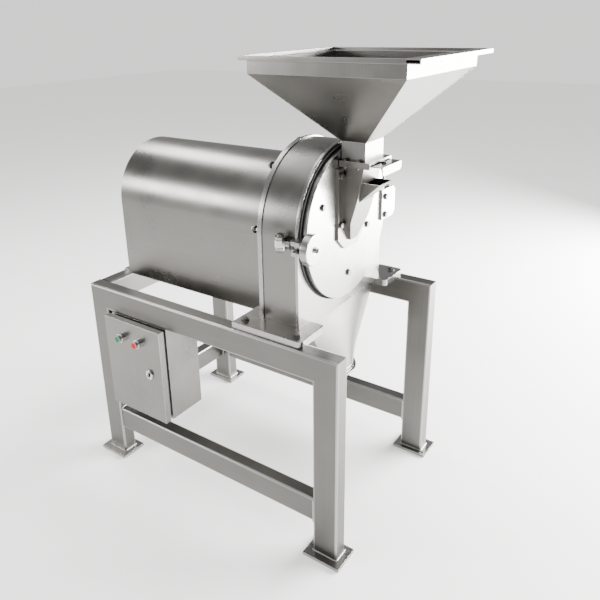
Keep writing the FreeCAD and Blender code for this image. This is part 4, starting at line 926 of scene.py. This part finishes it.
def lock_face():
    """A raised oval escutcheon round the cam lock, and in it a flat black oval of painted shade for the key
    slot.
    """
    low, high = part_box("cam_lock")
    centre = Vector(((low.x + high.x) / 2, low.y, low.z + 0.015))
    bm = bmesh.new()
    ring = [(0.0095, 0.0), (0.0145, 0.0), (0.0145, 0.0012), (0.0125, 0.0026), (0.0105, 0.0022),
            (0.0095, 0.0)]
    lathe(bm, ring, centre, (0, -1, 0), 48)
    for vert in bm.verts:
        vert.co.z = centre.z + (vert.co.z - centre.z) * 1.18
    hand_over(from_bmesh(bm, "lock_escutcheon", simple("ground")), "door_lock", "ground_steel")
    # a flat black oval, not a recess: painted shade for the dark inside of the key slot
    bm = bmesh.new()
    lathe(bm, [(0.0, 0.0006), (0.0052, 0.0006), (0.0052, 0.0), (0.0, 0.0)], centre, (0, -1, 0), 32)
    for vert in bm.verts:
        vert.co.z = centre.z + (vert.co.z - centre.z) * 1.6
    hand_over(from_bmesh(bm, "lock_key_slot_shade", simple("rubber")), "door_lock", "ground_steel")


def button_rings():
    """A knurled metal ring in front of each button's body."""
    for name in ("green_button", "red_button"):
        low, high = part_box(name)
        centre = Vector(((low.x + high.x) / 2, 0.0, (low.z + high.z) / 2))
        centre.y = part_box("button_bodies")[0].y
        bm = bmesh.new()
        outline = [(0.0127, 0.0), (0.0152, 0.0), (0.0156, 0.0012), (0.0156, 0.0052), (0.0148, 0.0062),
                   (0.0127, 0.0062), (0.0127, 0.0)]
        rings = lathe(bm, outline, centre, (0, -1, 0), 96)
        for ring in rings[2:4]:
            for vert in ring[::2]:
                vert.co -= (vert.co - Vector((centre.x, vert.co.y, centre.z))).normalized() * 0.0004
        hand_over(from_bmesh(bm, f"{name}_ring", simple("ground"), 50.0), "box_door", "ground_steel")


def box_hinges():
    """Two knuckled hinges on the box door's own axis, the middle knuckle with the door."""
    pivot = PIVOTS["box_door_swing"]
    low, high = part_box("control_box_door")
    barrel = [(0.0, 0.0), (0.0038, 0.0), (0.0042, 0.0006), (0.0042, 0.0124), (0.0038, 0.013), (0.0, 0.013)]
    sets = (("box_hinge_knuckles", "root", (0, 2)), ("box_door_knuckles", "box_door", (1,)))
    for name, body, steps in sets:
        bm = bmesh.new()
        for level in (low.z + HINGE_INSET, high.z - HINGE_INSET):
            for step in steps:
                foot_z = level - FIRST_KNUCKLE_BELOW + KNUCKLE_STEP * step
                lathe(bm, barrel, Vector((pivot.x, pivot.y, foot_z)), (0, 0, 1), 24)
        hand_over(from_bmesh(bm, name, simple("ground")), body, "ground_steel")


class MILL_OT_control_box(MillOperator, bpy.types.Operator):
    """Control box, its door, buttons and lock"""
    bl_idname = "mill.control_box"
    bl_label = "Control box"

    def execute(self, context):
        finish_node("control_box_body", metal("sheet", "z"), 0.0015)
        finish_node("control_box_door", metal("sheet", "z"), 0.0025, 3)
        two_tone(finish_node("button_bodies", simple("ground"), 0.001), simple("plastic"), BEZEL_DEPTH)
        two_tone(finish_node("green_button", simple("green"), 0.0022, 4), simple("ground"))
        two_tone(finish_node("red_button", simple("red"), 0.0022, 4), simple("ground"))
        finish_node("cam_lock", simple("ground"), 0.001)
        lock_face()
        box_hinges()
        button_rings()
        finish_node("cable_glands", simple("plastic"), 0.0006)
        finish_node("control_gear", simple("plastic"), 0.001)
        return {"FINISHED"}


class MILL_OT_stage(MillOperator, bpy.types.Operator):
    """Studio floor, soft lights and the camera"""
    bl_idname = "mill.stage"
    bl_label = "Stage"

    def execute(self, context):
        scene = context.scene
        bm = bmesh.new()
        bmesh.ops.create_grid(bm, x_segments=8, y_segments=8, size=FLOOR_HALF)
        floor_mesh = bpy.data.meshes.new("floor")
        bm.to_mesh(floor_mesh)
        bm.free()
        floor = new_object("floor", floor_mesh, finish_material(
            "floor_finish", scene.mill_colours.floor, (3.0, 3.0, 3.0), (0.85, 0.95), metallic=0.0, bump=0.0,
            mottle=0.6, specular=0.1, contrast=0.02))
        world = scene.world or bpy.data.worlds.new("studio")
        scene.world = world
        world.use_nodes = True
        background = world.node_tree.nodes["Background"]
        background.inputs["Color"].default_value = (1.0, 1.0, 0.99, 1.0)
        rays = node(world.node_tree, "ShaderNodeLightPath")
        strength = node(world.node_tree, "ShaderNodeMapRange",
                        values={"To Min": SURROUND, "To Max": MIRRORED_SURROUND})
        world.node_tree.links.new(rays.outputs["Is Glossy Ray"], strength.inputs["Value"])
        world.node_tree.links.new(strength.outputs["Result"], background.inputs["Strength"])
        for name, place, aim, size, power in LIGHTS:
            soft_light(name, place, aim, size, power)
        lens = bpy.data.cameras.new("camera")
        lens.sensor_width = SENSOR_WIDTH
        lens.lens = FOCAL_LENGTH
        lens.shift_x, lens.shift_y = LENS_SHIFT
        camera = bpy.data.objects.new("camera", lens)
        camera.matrix_world = camera_pose()
        scene.collection.objects.link(camera)
        scene.camera = camera
        return {"FINISHED"}


def camera_pose():
    """The camera's place and turn: azimuth, elevation and a slight roll."""
    azimuth, elevation, roll = (math.radians(angle) for angle in CAMERA_TURN)
    back = Vector((math.sin(azimuth) * math.cos(elevation), -math.cos(azimuth) * math.cos(elevation),
                   math.sin(elevation)))
    right = Vector((math.cos(azimuth), math.sin(azimuth), 0.0))
    up = back.cross(right)
    rolled_right = right * math.cos(roll) + up * math.sin(roll)
    rolled_up = up * math.cos(roll) - right * math.sin(roll)
    turn = Matrix((rolled_right, rolled_up, back)).transposed().to_4x4()
    return Matrix.Translation(CAMERA_PLACE) @ turn


def soft_light(name, place, aim, size, power):
    """A rectangular area light aimed at a point."""
    lamp = bpy.data.lights.new(name, "AREA")
    lamp.shape = "RECTANGLE"
    lamp.size, lamp.size_y = size
    lamp.energy = power
    obj = bpy.data.objects.new(name, lamp)
    obj.location = place
    obj.rotation_euler = (Vector(aim) - Vector(place)).to_track_quat("-Z", "Y").to_euler()
    bpy.context.scene.collection.objects.link(obj)
    return obj


OPERATORS = (MILL_OT_stand, MILL_OT_chamber, MILL_OT_drive, MILL_OT_rotor, MILL_OT_door, MILL_OT_feed,
             MILL_OT_lock, MILL_OT_discharge, MILL_OT_control_box, MILL_OT_stage)


class MILL_PT_panel(bpy.types.Panel):
    """The mill's pieces, in the order they are made"""
    bl_idname = "MILL_PT_panel"
    bl_label = "Hammer Mill"
    bl_space_type = "VIEW_3D"
    bl_region_type = "UI"
    bl_category = "Mill"

    def draw(self, context):
        for operator in OPERATORS:
            self.layout.operator(operator.bl_idname)


CLASSES = (MillSizes, MillColours, *OPERATORS, MILL_PT_panel)


def register():
    for cls in CLASSES:
        bpy.utils.register_class(cls)
    bpy.types.Scene.mill_sizes = PointerProperty(type=MillSizes)
    bpy.types.Scene.mill_colours = PointerProperty(type=MillColours)


def unregister():
    del bpy.types.Scene.mill_colours
    del bpy.types.Scene.mill_sizes
    for cls in reversed(CLASSES):
        bpy.utils.unregister_class(cls)


def main():
    """Makes the mill."""
    register()
    for operator in OPERATORS:
        group, name = operator.bl_idname.split(".")
        getattr(getattr(bpy.ops, group), name)()


if __name__ == "__main__":
    main()
